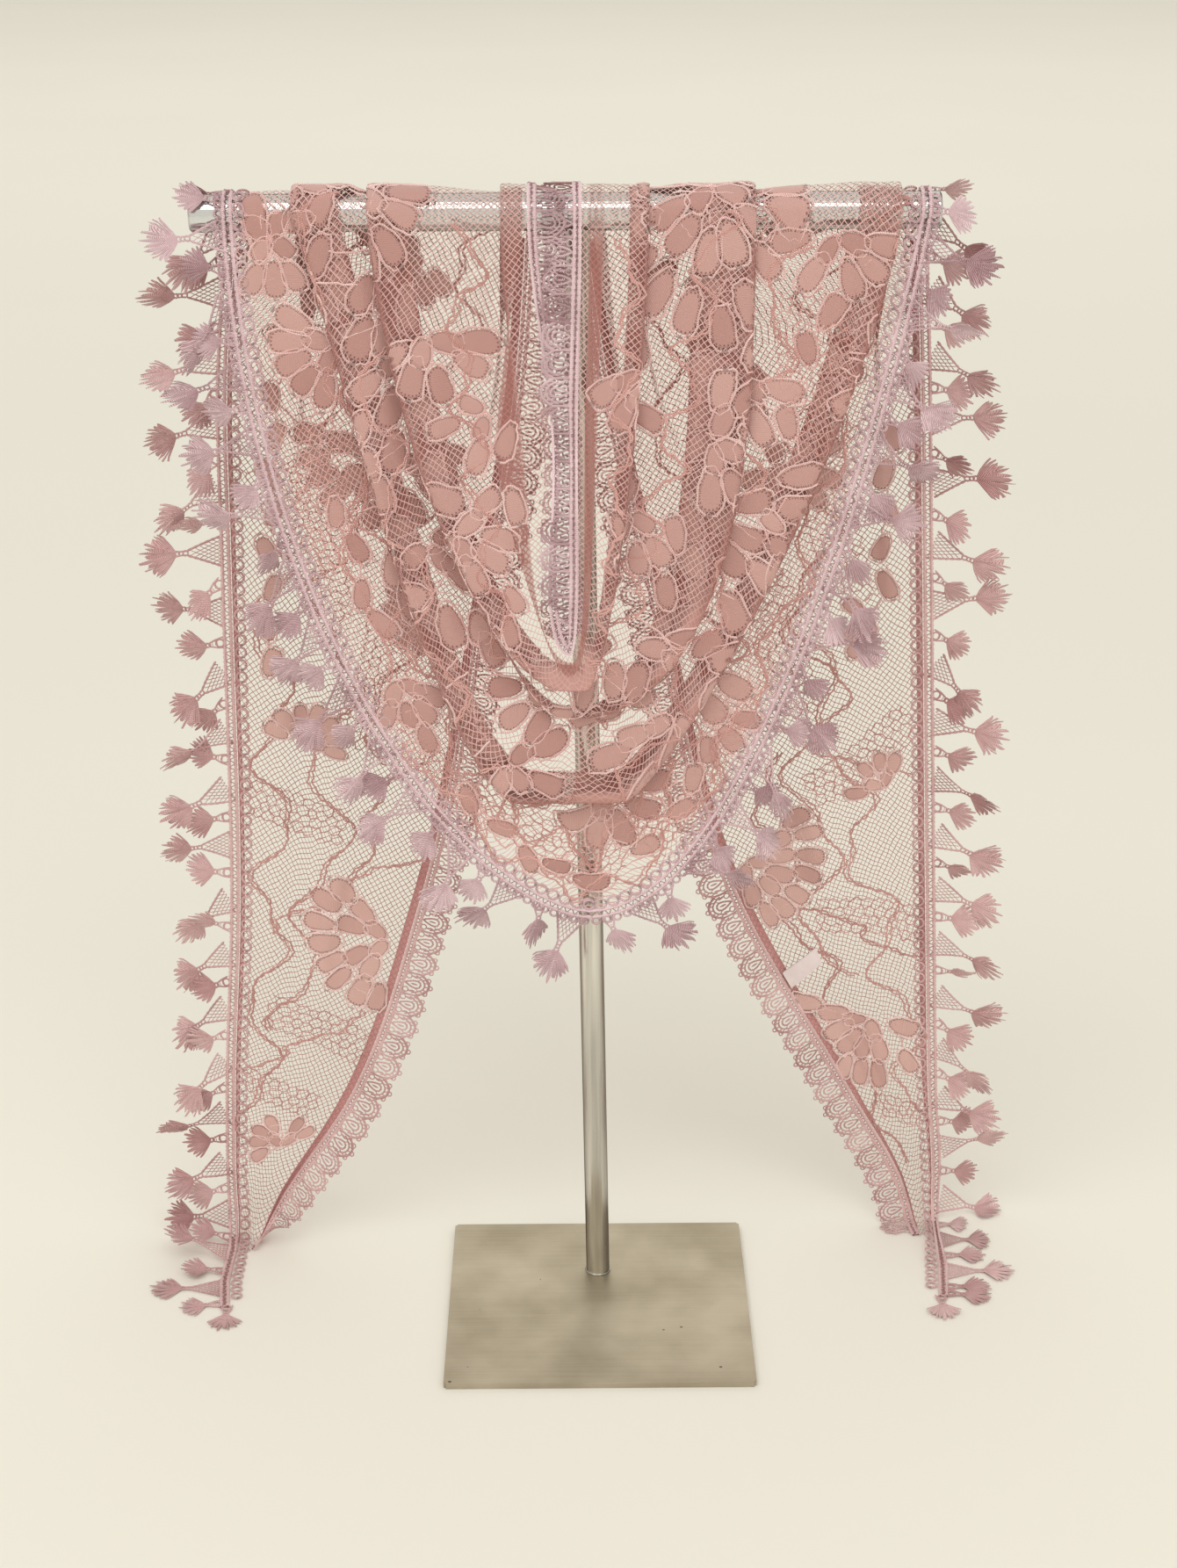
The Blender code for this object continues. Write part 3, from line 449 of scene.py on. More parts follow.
def smooth_table(at, values, shares):
    """Reads a short table with a smooth curve through its rows (Catmull-Rom slopes)."""
    values = np.array(values)
    slopes = np.gradient(values, np.array(at))
    index, span, t = step_of(at, shares)
    return hermite(t, values[index], slopes[index] * span, values[index + 1], slopes[index + 1] * span)


def front_grid():
    """The whole front, from the top of the bar on the left round to it on the right."""
    half = FRONT_STEPS // 2
    shares = 1.0 - np.linspace(1.0, 0.0, half + 1) ** BOTTOM_CROWD
    quarter = np.linspace(math.pi / 2 - SEAM_GAP / 2 / BAR_R, 0.0, WRAP_STEPS + 1)[:-1]
    left = np.concatenate([bar_points(LEFT, quarter), front_points(LEFT, shares)], 1)
    right = np.concatenate([bar_points(RIGHT, quarter), front_points(RIGHT, shares)], 1)
    return np.concatenate([left, right[:, -2::-1]], 1)


def tail_grid(side):
    """A tail, from the top of the bar to its tip."""
    shut = np.linspace(0.0, TAIL_FOLDS_SHUT, TAIL_SHUT_STEPS + 1)
    shares = np.append(shut, np.linspace(TAIL_FOLDS_SHUT, 1.0, TAIL_STEPS - TAIL_SHUT_STEPS + 1)[1:])
    quarter = np.linspace(math.pi / 2 + SEAM_GAP / 2 / BAR_R, math.pi, WRAP_STEPS + 1)[:-1]
    return np.concatenate([bar_points(side, quarter), tail_points(side, shares)], 1)


# ---------------------------------------------------------------- the cloth, finer
ROW_STEP = 3.2 * MM  # between the mesh's rows, where a layer is widest
ACROSS = 360  # even steps across the cloth, for what is worked on it
LAST_ROWS = (0, 2, 4, 9, 11, 16, 18, 23, 25, 30)  # the row that each layer begins and ends at

# Soft troughs and ridges, each along a path over one visible layer. part: F front, L and R
# tails; start, end: shares along it; row_a, row_b: where it lies across, in rows; width
# and depth in millimetres.
Crease = namedtuple("Crease", "part start end row_a row_b width depth")
CREASES = [
    Crease("F", 0.08, 0.40, 6.2, 7.0, 5.0, -1.3),
    Crease("F", 0.14, 0.33, 7.9, 8.2, 3.5, 1.0),
    Crease("F", 0.24, 0.47, 13.6, 14.6, 6.5, 1.6),
    Crease("F", 0.10, 0.29, 15.0, 14.7, 4.0, -1.0),
    Crease("F", 0.30, 0.58, 20.9, 21.6, 7.5, 1.9),
    Crease("F", 0.17, 0.36, 22.2, 21.9, 5.0, -1.4),
    Crease("F", 0.38, 0.66, 27.6, 28.0, 9.0, 1.5),
    Crease("F", 0.12, 0.31, 28.4, 27.4, 6.0, -1.2),
    Crease("F", 0.63, 0.90, 6.9, 6.4, 4.2, 1.2),
    Crease("F", 0.55, 0.80, 8.1, 7.4, 5.5, -1.5),
    Crease("F", 0.60, 0.93, 14.2, 13.3, 5.0, -1.4),
    Crease("F", 0.68, 0.84, 15.2, 15.0, 3.2, 0.9),
    Crease("F", 0.57, 0.86, 21.0, 20.5, 6.0, 1.7),
    Crease("F", 0.70, 0.95, 22.3, 21.8, 4.5, -1.1),
    Crease("F", 0.62, 0.88, 28.3, 27.2, 8.0, -1.6),
    Crease("F", 0.44, 0.57, 29.0, 28.8, 6.0, 1.0),
    Crease("L", 0.10, 0.55, 6.5, 9.5, 7.0, 1.6),
    Crease("L", 0.22, 0.80, 14.0, 17.0, 9.0, -1.8),
    Crease("L", 0.05, 0.38, 21.0, 20.0, 5.5, 1.3),
    Crease("L", 0.45, 0.92, 24.0, 25.0, 6.0, 1.4),
    Crease("L", 0.60, 0.96, 8.0, 12.0, 6.5, -1.2),
    Crease("R", 0.08, 0.47, 7.2, 10.5, 6.0, -1.5),
    Crease("R", 0.18, 0.72, 15.5, 18.5, 8.5, 1.8),
    Crease("R", 0.35, 0.88, 22.0, 24.0, 7.0, -1.3),
    Crease("R", 0.06, 0.30, 27.0, 26.5, 5.0, 1.1),
    Crease("R", 0.66, 0.97, 9.0, 13.0, 6.0, 1.2),
]
CREASE_BOW = 0.35  # how far a crease wanders to each side, in rows


def cloth_rows():
    """The whole cloth, (row, column, 3): left tail from its tip, front, right tail."""
    left, right = tail_grid(LEFT), tail_grid(RIGHT)
    front = front_grid()
    rows = np.concatenate([left[:, :0:-1], front, right[:, 1:]], 1)
    return rows, left.shape[1] - 1, front.shape[1] - 1


def refine(rows):
    """A curve through the rows of each column, which rounds the folds."""
    line = np.concatenate([2 * rows[:1] - rows[1:2], rows, 2 * rows[-1:] - rows[-2:-1]])
    step = np.diff(line, axis=0)
    length = np.linalg.norm(step, axis=-1)
    gap = np.sqrt(np.maximum(length, 1e-6))[..., None]
    fine, place = [], []
    for i in range(len(rows) - 1):
        g0, g1, g2 = gap[i], gap[i + 1], gap[i + 2]
        d0, d1, d2 = step[i], step[i + 1], step[i + 2]
        m1 = g1 * d0 / g0 - g1 * (d0 + d1) / (g0 + g1) + d1
        m2 = g1 * d2 / g2 - g1 * (d1 + d2) / (g1 + g2) + d1
        count = int(np.clip(round(length[i + 1].max() / ROW_STEP), 2, 8))
        for k in range(count):
            t = k / count
            fine.append(hermite(t, rows[i], m1, rows[i + 1], m2))
            place.append(i + t)
    fine.append(rows[-1])
    place.append(len(rows) - 1.0)
    return np.array(fine), np.array(place)


def normals_of(grid):
    """Unit normals of a grid (row, column, 3), on the cloth's right side."""
    return unit(np.cross(np.gradient(grid, axis=0), np.gradient(grid, axis=1)))


def run_along(points, axis):
    """Length from the start, along one axis of a grid of points."""
    steps = np.linalg.norm(np.diff(points, axis=axis), axis=-1)
    first = np.zeros_like(np.take(steps, [0], axis=axis))
    return np.concatenate([first, np.cumsum(steps, axis=axis)], axis=axis)


def level_chart(along, across):
    """The values over a grid whose steps come nearest to the given ones."""
    rows, columns = across.shape[0] + 1, along.shape[1] + 1
    change = np.zeros((rows, columns))
    change[:, :-1] += along
    change[:, 1:] -= along
    change[:-1] += across
    change[1:] -= across
    mirrored = np.block([[change, change[:, ::-1]], [change[::-1], change[::-1, ::-1]]])
    down = 2 * np.cos(math.pi * np.arange(2 * rows) / rows) - 2
    over = 2 * np.cos(math.pi * np.arange(2 * columns) / columns) - 2
    divisor = down[:, None] + over[None]
    divisor[0, 0] = 1.0
    spectrum = np.fft.fft2(mirrored) / divisor
    spectrum[0, 0] = 0.0
    return np.real(np.fft.ifft2(spectrum))[:rows, :columns]


def flat_places(rows):
    """Where each point lies on the cloth laid flat: along and across it, in millimetres."""
    step = np.diff(rows, axis=0)
    heading = unit(np.gradient(rows, axis=1))
    heading = unit(heading[1:] + heading[:-1])
    lean = (step * heading).sum(-1)
    straight = np.sqrt(np.maximum((step**2).sum(-1) - lean**2, 0.0))
    along = level_chart(np.linalg.norm(np.diff(rows, axis=1), axis=-1), lean)
    across = np.concatenate([np.zeros((1, rows.shape[1])), np.cumsum(straight, 0)])
    return along / MM, across / MM


def freedom(place):
    """1 in the middle of a visible layer, 0 at its folds, at an edge and in hidden layers."""
    free = 0.0 * place
    for start, end in zip(LAST_ROWS[0::2], LAST_ROWS[1::2]):
        share = (place - start) / (end - start)
        inside = (share > 0) & (share < 1)
        free += np.where(inside, smooth(4 * share) * smooth(4 * (1 - share)), 0.0)
    return free


def part_shares(line, first, count):
    """Shares along each part for every column, read on one line; a tail's start at the bar."""
    run = run_along(line[None], 1)[0]
    spans = {"L": (first, 0), "F": (first, first + count), "R": (first + count, len(run) - 1)}
    return {part: (run - run[a]) / (run[b] - run[a]) for part, (a, b) in spans.items()}


def crease(rows, place, first, count):
    """The cloth with its creases pressed in and its slight unevenness."""
    normals = normals_of(rows)
    across = run_along(rows, 0)
    shares = part_shares(rows[len(rows) // 2], first, count)
    free = freedom(place)[:, None]
    push = np.zeros(rows.shape[:2])
    numbers = np.arange(len(place))
    for c in CREASES:
        t = (shares[c.part] - c.start) / (c.end - c.start)
        fade = np.where((t > 0) & (t < 1), np.sin(math.pi * np.clip(t, 0, 1)) ** 0.7, 0.0)
        row = mix(c.row_a, c.row_b, t) + CREASE_BOW * np.sin(5.0 * t + c.row_a)
        index = np.interp(row, place, numbers)
        centre = np.array([np.interp(i, numbers, across[:, k]) for k, i in enumerate(index)])
        push += c.depth * MM * fade * np.exp(-(((across - centre) / (c.width * MM)) ** 2))
    wide = np.arange(rows.shape[1])[None, :]
    push += 0.45 * MM * np.sin(across / 0.011 + wide * 0.19) * np.sin(wide * 0.083 + 1.3)
    push += 0.30 * MM * np.sin(across / 0.0063 - wide * 0.31 + 2.0)
    return rows + normals * (push * free)[..., None]


class Surface:
    """The cloth read anywhere: by column and by share across, and round a point in metres."""

    def __init__(self, rows, first, count):
        run = run_along(rows, 0)
        share = np.linspace(0.0, 1.0, ACROSS)
        columns = range(rows.shape[1])
        self.grid = np.array([read_line(share * run[-1, c], run[:, c], rows[:, c]) for c in columns])
        self.along = np.gradient(self.grid, axis=0)
        self.across = np.gradient(self.grid, axis=1) * (ACROSS - 1)
        self.normals = unit(np.cross(self.across, self.along))
        self.shares = part_shares(self.grid[:, ACROSS // 2], first, count)
        self.front = (first, first + count)

    def on_front(self, column):
        return self.front[0] <= column <= self.front[1]

    def column(self, part, share):
        """The column at a share along a part."""
        order = np.argsort(self.shares[part])
        return np.interp(share, self.shares[part][order], order.astype(float))

    def read(self, values, column, q):
        column = np.clip(column, 0, len(self.grid) - 1.001)
        q = np.clip(q, 0.0, 1.0) * (ACROSS - 1.001)
        i, j = column.astype(int), q.astype(int)
        s, t = (column - i)[..., None], (q - j)[..., None]
        near = values[i, j] * (1 - t) + values[i, j + 1] * t
        far = values[i + 1, j] * (1 - t) + values[i + 1, j + 1] * t
        return near * (1 - s) + far * s

    def round(self, column, q, a, b):
        """Columns and shares at distances a along and b across from each place."""
        along = self.read(self.along, column, q)
        across = self.read(self.across, column, q)
        normal = unit(np.cross(across, along))
        e1 = unit(along)
        e2 = np.cross(e1, normal)
        size = np.maximum((across * e2).sum(-1), 0.05)
        lean = (across * e1).sum(-1)
        length = np.maximum(np.linalg.norm(along, axis=-1), 2e-4)
        dq = b / size[..., None]
        return column[..., None] + (a - dq * lean[..., None]) / length[..., None], q[..., None] + dq

    def around(self, column, q, a, b):
        """The same for many distances from one place."""
        columns, shares = self.round(np.array([column]), np.array([q]), a[None], b[None])
        return columns[0], shares[0]

    def beside(self, column, q, a, b):
        """The same for one distance from each of many places."""
        columns, shares = self.round(column, q, a[:, None], b[:, None])
        return columns[:, 0], shares[:, 0]

    def at(self, column, q, height):
        """Points at a height over the cloth's right side, and its normals there."""
        normal = unit(self.read(self.normals, column, q))
        return self.read(self.grid, column, q) + normal * np.asarray(height)[..., None], normal


# ---------------------------------------------------------------- meshes
class Build:
    """Gathers many small pieces into one mesh, with a place and a tone for its material."""

    def __init__(self):
        self.points, self.quads, self.tris, self.places, self.tones = [], [], [], [], []
        self.count = 0

    def add(self, points, quads=(), tris=(), places=None, tone=0.5):
        points = np.asarray(points, float).reshape(-1, 3)
        places = np.zeros(points.shape) if places is None else np.asarray(places).reshape(-1, 3)
        self.points.append(points)
        self.places.append(places)
        self.tones.append(np.zeros(len(points)) + tone)
        if len(quads):
            self.quads.append(np.asarray(quads) + self.count)
        if len(tris):
            self.tris.append(np.asarray(tris) + self.count)
        self.count += len(points)

    def gather(self):
        """All its points, faces with four sides, and faces with three."""
        quads = np.concatenate(self.quads) if self.quads else np.zeros((0, 4), int)
        tris = np.concatenate(self.tris) if self.tris else np.zeros((0, 3), int)
        return np.concatenate(self.points), quads, tris

    def finish(self, name, material, slot, angle=50):
        points, quads, tris = self.gather()
        mesh = new_mesh(name, points, quads.tolist() + tris.tolist())
        put(mesh, "place", "FLOAT_VECTOR", np.concatenate(self.places))
        put(mesh, "tone", "FLOAT", np.concatenate(self.tones))
        return piece(name, mesh, material, angle)


def new_mesh(name, points, faces):
    mesh = bpy.data.meshes.new(name)
    mesh.from_pydata(points.reshape(-1, 3).tolist(), [], faces)
    mesh.update()
    return mesh


def put(mesh, name, kind, values):
    field = mesh.attributes.new(name, kind, "POINT")
    key = "vector" if kind == "FLOAT_VECTOR" else "value"
    field.data.foreach_set(key, np.ascontiguousarray(values, dtype=np.float32).ravel())


def piece(name, mesh, material, angle):
    mesh.materials.append(material)
    mesh.shade_smooth()
    mesh.set_sharp_from_angle(angle=math.radians(angle))
    made = bpy.data.objects.new(name, mesh)
    bpy.context.scene.collection.objects.link(made)
    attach(made, "root")
    return made


def ring_quads(rings, sides, closed):
    """Faces between rings of points that follow each other."""
    a = np.arange(rings if closed else rings - 1)[:, None] * sides
    b = (a + sides) % (rings * sides)
    k = np.arange(sides)[None]
    n = (k + 1) % sides
    return np.stack([a + k, a + n, b + n, b + k], -1).reshape(-1, 4)


def cord_points(line, normals, wide, high, closed=False, twist=0.0, sides=4):
    """Rings of points round a line: a cord, with its plies swelling by turns."""
    if closed:
        tangent = unit(np.roll(line, -1, 0) - np.roll(line, 1, 0))
    else:
        tangent = unit(np.gradient(line, axis=0))
    across = unit(np.cross(tangent, normals))
    up = np.cross(across, tangent)
    angle = np.arange(sides) * 2 * math.pi / sides
    swell = 1.0 + twist * np.where(np.arange(len(line)) % 2, 1.0, -1.0)[:, None, None]
    wide = np.broadcast_to(wide, (len(line),))[:, None, None]
    high = np.broadcast_to(high, (len(line),))[:, None, None]
    ring = across[:, None] * np.cos(angle)[None, :, None] * wide * swell
    ring = ring + up[:, None] * np.sin(angle)[None, :, None] * high * swell
    return line[:, None] + ring / 2


def add_cord(build, line, normals, wide, high, closed=False, twist=0.0, sides=4, tone=0.5):
    points = cord_points(line, normals, wide, high, closed, twist, sides)
    run = run_along(line[None], 1)[0] / MM
    places = np.zeros(points.shape)
    places[..., 0] = run[:, None]
    places[..., 1] = np.arange(sides)[None] / sides
    quads = ring_quads(len(line), sides, closed)
    build.add(points, quads, places=places, tone=tone)


# ---------------------------------------------------------------- flowers worked on the net
# A bloom is a fan of satin petals in rows. part and along: where its heart lies; across:
# share from the scalloped edge (0) to the fringed edge (1); turn: the way it opens, in
# degrees from along the cloth; spread: the angle its petals fill; rows of petals; size.
Bloom = namedtuple("Bloom", "part along across turn spread rows size")
BLOOMS = [
    Bloom("F", 0.004, 0.41, 10, 320, 2, 1.05),
    Bloom("F", 0.008, 0.62, 160, 300, 2, 1.05),
    Bloom("F", 0.996, 0.29, 170, 320, 3, 1.05),
    Bloom("F", 0.992, 0.55, 190, 300, 2, 1.0),
    Bloom("F", 0.035, 0.93, 80, 300, 2, 0.85),
    Bloom("F", 0.045, 0.52, -60, 220, 3, 1.0),
    Bloom("F", 0.05, 0.70, 20, 200, 2, 0.95),
    Bloom("F", 0.10, 0.82, 110, 210, 2, 0.9),
    Bloom("F", 0.12, 0.25, -10, 190, 2, 1.0),
    Bloom("F", 0.15, 0.45, 60, 200, 3, 1.0),
    Bloom("F", 0.17, 0.62, 10, 230, 2, 1.0),
    Bloom("F", 0.20, 0.13, 90, 180, 2, 0.9),
    Bloom("F", 0.22, 0.78, -70, 200, 3, 1.0),
    Bloom("F", 0.24, 0.34, 20, 190, 2, 1.05),
    Bloom("F", 0.27, 0.52, -20, 210, 3, 1.0),
    Bloom("F", 0.30, 0.22, -50, 200, 2, 0.95),
    Bloom("F", 0.31, 0.90, 30, 170, 2, 0.85),
    Bloom("F", 0.34, 0.66, 80, 200, 2, 1.0),
    Bloom("F", 0.36, 0.42, 10, 210, 2, 1.0),
    Bloom("F", 0.40, 0.16, 70, 190, 2, 0.95),
    Bloom("F", 0.43, 0.80, -90, 180, 2, 0.9),
    Bloom("F", 0.45, 0.55, -10, 200, 2, 1.0),
    Bloom("F", 0.48, 0.30, 60, 200, 2, 0.95),
    Bloom("F", 0.53, 0.72, 100, 200, 2, 1.05),
    Bloom("F", 0.56, 0.14, 110, 180, 2, 0.9),
    Bloom("F", 0.57, 0.46, -50, 220, 3, 1.0),
    Bloom("F", 0.61, 0.28, 160, 210, 2, 1.0),
    Bloom("F", 0.63, 0.62, 190, 200, 3, 1.05),
    Bloom("F", 0.66, 0.84, 60, 200, 2, 0.9),
    Bloom("F", 0.69, 0.40, 120, 190, 3, 1.0),
    Bloom("F", 0.72, 0.20, 200, 210, 2, 0.95),
    Bloom("F", 0.75, 0.56, 170, 220, 3, 1.05),
    Bloom("F", 0.78, 0.74, 230, 200, 2, 0.95),
    Bloom("F", 0.81, 0.34, 90, 200, 3, 1.0),
    Bloom("F", 0.84, 0.12, 170, 190, 2, 0.95),
    Bloom("F", 0.86, 0.60, 200, 240, 2, 1.0),
    Bloom("F", 0.89, 0.86, 160, 200, 2, 0.9),
    Bloom("F", 0.92, 0.44, 180, 300, 3, 1.05),
    Bloom("F", 0.955, 0.24, 150, 200, 2, 0.9),
    Bloom("F", 0.965, 0.72, 200, 240, 2, 0.95),
    Bloom("L", 0.06, 0.30, 120, 200, 2, 0.95),
    Bloom("L", 0.12, 0.72, 60, 200, 2, 0.9),
    Bloom("L", 0.22, 0.46, 180, 210, 3, 1.0),
    Bloom("L", 0.36, 0.20, 120, 190, 2, 0.9),
    Bloom("L", 0.48, 0.70, -20, 190, 2, 0.85),
    Bloom("L", 0.665, 0.12, 135, 190, 3, 1.05),
    Bloom("L", 0.88, 0.45, 40, 200, 2, 0.8),
    Bloom("R", 0.05, 0.62, 200, 220, 2, 0.95),
    Bloom("R", 0.13, 0.28, 100, 200, 2, 0.95),
    Bloom("R", 0.24, 0.56, 20, 210, 2, 1.0),
    Bloom("R", 0.38, 0.82, -60, 180, 2, 0.8),
    Bloom("R", 0.53, 0.82, 230, 170, 2, 0.75),
    Bloom("R", 0.60, 0.10, 50, 190, 3, 1.0),
    Bloom("R", 0.76, 0.52, -30, 200, 3, 1.05),
]
PetalRow = namedtuple("PetalRow", "radius per_turn length width")
PETAL_ROWS = (
    PetalRow(7.0, 8, 12.0, 7.6),
    PetalRow(18.5, 13, 16.0, 8.8),
    PetalRow(33.0, 19, 17.0, 9.2),
)
# A row of single petals, one beyond the other, as they stand along a fold.
Spray = namedtuple("Spray", "part start end across drift count size")
SPRAYS = [
    Spray("F", 0.06, 0.34, 0.60, -0.05, 12, 1.15),
    Spray("F", 0.10, 0.40, 0.36, 0.04, 13, 1.0),
    Spray("F", 0.18, 0.42, 0.88, 0.03, 9, 0.9),
    Spray("F", 0.22, 0.45, 0.08, 0.03, 10, 0.9),
    Spray("F", 0.36, 0.52, 0.92, 0.00, 7, 0.9),
    Spray("F", 0.55, 0.66, 0.90, 0.02, 5, 0.95),
    Spray("F", 0.58, 0.92, 0.50, 0.05, 14, 1.15),
    Spray("F", 0.60, 0.88, 0.33, -0.04, 12, 1.05),
    Spray("F", 0.66, 0.93, 0.68, 0.05, 11, 1.0),
    Spray("F", 0.62, 0.90, 0.16, 0.04, 11, 0.95),
    Spray("F", 0.70, 0.95, 0.80, 0.05, 9, 0.9),
    Spray("L", 0.03, 0.22, 0.52, 0.05, 7, 0.95),
    Spray("L", 0.16, 0.42, 0.84, 0.02, 8, 0.85),
    Spray("R", 0.04, 0.24, 0.42, 0.08, 7, 0.95),
    Spray("R", 0.20, 0.36, 0.90, -0.05, 5, 0.85),
]
# Meandering pairs of cords between the flowers.
Vine = namedtuple("Vine", "part start end across_a across_b sway waves")
VINES = [
    Vine("F", 0.01, 0.30, 0.62, 0.95, 7, 3),
    Vine("F", 0.02, 0.46, 0.78, 0.85, 9, 5),
    Vine("F", 0.03, 0.48, 0.20, 0.12, 6, 6),
    Vine("F", 0.05, 0.45, 0.44, 0.36, 7, 5),
    Vine("F", 0.10, 0.50, 0.56, 0.64, 8, 5),
    Vine("F", 0.22, 0.58, 0.72, 0.74, 9, 4),
    Vine("F", 0.34, 0.70, 0.96, 0.94, 5, 5),
    Vine("F", 0.40, 0.66, 0.20, 0.24, 6, 3),
    Vine("F", 0.42, 0.62, 0.86, 0.84, 8, 3),
    Vine("F", 0.46, 0.96, 0.58, 0.66, 9, 6),
    Vine("F", 0.52, 0.97, 0.36, 0.50, 8, 6),
    Vine("F", 0.54, 0.98, 0.80, 0.86, 9, 6),
    Vine("F", 0.56, 0.96, 0.10, 0.08, 5, 6),
    Vine("F", 0.64, 0.99, 0.94, 0.95, 6, 5),
    Vine("F", 0.66, 0.98, 0.24, 0.30, 7, 5),
    Vine("L", 0.02, 0.50, 0.15, 0.35, 9, 4),
    Vine("L", 0.03, 0.70, 0.62, 0.55, 12, 5),
    Vine("L", 0.30, 0.90, 0.86, 0.80, 9, 5),
    Vine("L", 0.44, 0.76, 0.10, 0.72, 6, 3),
    Vine("L", 0.58, 0.66, 0.05, 0.85, 5, 2),
    Vine("L", 0.74, 0.80, 0.08, 0.92, 4, 2),
    Vine("R", 0.02, 0.46, 0.22, 0.12, 9, 4),
    Vine("R", 0.03, 0.72, 0.75, 0.40, 12, 5),
    Vine("R", 0.32, 0.88, 0.55, 0.85, 10, 5),
    Vine("R", 0.45, 0.52, 0.06, 0.90, 6, 2),
    Vine("R", 0.50, 0.92, 0.30, 0.25, 8, 4),
    Vine("R", 0.62, 0.70, 0.06, 0.94, 5, 2),
]
Petal = namedtuple("Petal", "column across turn length width flower")
SPRAY_PETAL = (18.0, 9.6)  # length and width in millimetres
SPRAY_TURN = 18  # degrees to each side, by turns
SPRAY_ASIDE = 0.012
EDGE_CLEAR = 0.03  # share of the cloth's width that fans leave free at each edge
FRONT_SIZE = 1.22  # how much larger the front's flowers are than the tails'
PETAL_SIDES = 16
PETAL_RINGS = ((0.96, 0.15), (0.72, 0.75), (0.38, 1.0))  # share of its size, and of its height
PETAL_DOME = 0.28 * MM
PETAL_LIFT = 0.12 * MM  # over the net
PETAL_UNEVEN = 0.05 * MM
RIM_SIDES = 22
RIM_OUT = 1.11  # the cord round a petal, by the petal's size
RIM_WIDE = 1.1 * MM
RIM_HIGH = 1.2 * MM
RIM_LIFT = 0.02 * MM
LINK_FROM = 9 * MM  # petals between these distances apart are linked
LINK_TO = 30 * MM
LINK_COLUMNS = 26
LINKS_EACH = 3
LINK_STEP = 3.2
LINK_UNDER = 0.46 * MM  # how far from a petal's middle a link ends, by the petal's length
LINK_MOST = 0.85  # petals that leave less than the rest of the way between them need none
LINK_STRETCH = 1.5  # a link that the folds make longer than this is left out
LINK_WIDE = 1.0 * MM
LINK_LIFT = 0.05 * MM
VINE_POINTS = 400
VINE_GAP = 2.6 * MM  # between the two cords of a vine
VINE_STEP = 1.7 * MM
VINE_LIFT = 0.28 * MM


def petals_of_blooms(surface, rng):
    """The petals of the fans."""
    found = []
    for flower, bloom in enumerate(BLOOMS):
        column = surface.column(bloom.part, bloom.along)
        full = bloom.size * (FRONT_SIZE if bloom.part == "F" else 1.0)
        for row in PETAL_ROWS[: bloom.rows]:
            count = max(3, round(row.per_turn * bloom.spread / 360))
            for k in range(count):
                turn = bloom.turn + bloom.spread * ((k + 0.5) / count - 0.5) + rng.uniform(-4, 4)
                away = row.radius * full * MM * rng.uniform(0.95, 1.05)
                a, b = away * math.cos(math.radians(turn)), away * math.sin(math.radians(turn))
                c, q = surface.around(column, bloom.across, np.array([a]), np.array([b]))
                size = full * rng.uniform(0.88, 1.08)
                if EDGE_CLEAR < q[0] < 1 - EDGE_CLEAR:
                    found.append(Petal(c[0], q[0], turn, row.length * size, row.width * size, flower))
    return found


def petals_of_sprays(surface, rng):
    """The petals along the folds, each a flower of its own."""
    found = []
    for spray in SPRAYS:
        side = 1
        for k in range(spray.count):
            share = mix(spray.start, spray.end, (k + 0.5) / spray.count)
            q = spray.across + spray.drift * (k + 0.5) / spray.count + SPRAY_ASIDE * side
            column = surface.column(spray.part, share)
            turn = SPRAY_TURN * side + rng.uniform(-10, 10)
            size = spray.size * rng.uniform(0.88, 1.1)
            length, width = SPRAY_PETAL
            found.append(Petal(column, q, turn, length * size, width * size, len(BLOOMS) + len(found)))
            side = -side
    return found


# Where a petal's room is tested along its length, and how wide the room is there. Petals
# of one flower are tested at their middles alone, and petals that face apart aren't.
PETAL_SPOTS = np.array([-0.30, 0.02, 0.32])
PETAL_ROOM = np.array([0.30, 0.46, 0.36])
FACE_APART = 0.3


def spaced_out(petals, surface):
    """Leaves out each petal that would lie over an earlier one."""
    kept, taken = [], []
    for petal in petals:
        a, b = turned(PETAL_SPOTS * petal.length * MM, 0.0, math.radians(petal.turn))
        c, s = surface.around(petal.column, petal.across, a, b)
        spots = surface.read(surface.grid, c, s)
        normal = surface.read(surface.normals, np.array(petal.column), np.array(petal.across))
        room = PETAL_ROOM * petal.width * MM
        clear = True
        for other, other_normal, other_room, other_flower in taken:
            if normal @ other_normal < FACE_APART:
                continue
            apart = np.linalg.norm(spots[:, None] - other[None], axis=2)
            near = apart < room[:, None] + other_room[None]
            if near[1, 1] if other_flower == petal.flower else near.any():
                clear = False
                break
        if clear:
            kept.append(petal)
            taken.append((spots, normal, room, petal.flower))
    return kept


def oval(count, taper, blunt, phase):
    """A petal's outline, 1 long each way: narrower at its root, blunt or rounder at its tip."""
    t = (np.arange(count) + 0.5) / count * 2 * math.pi
    x = np.sign(np.cos(t)) * np.abs(np.cos(t)) ** blunt
    y = np.sign(np.sin(t)) * np.abs(np.sin(t)) ** 0.82
    uneven = 1.0 + 0.035 * np.sin(2 * t + phase) + 0.025 * np.sin(3 * t + 2 * phase)
    return x * uneven, y * (1.0 + taper * np.cos(t)) * uneven


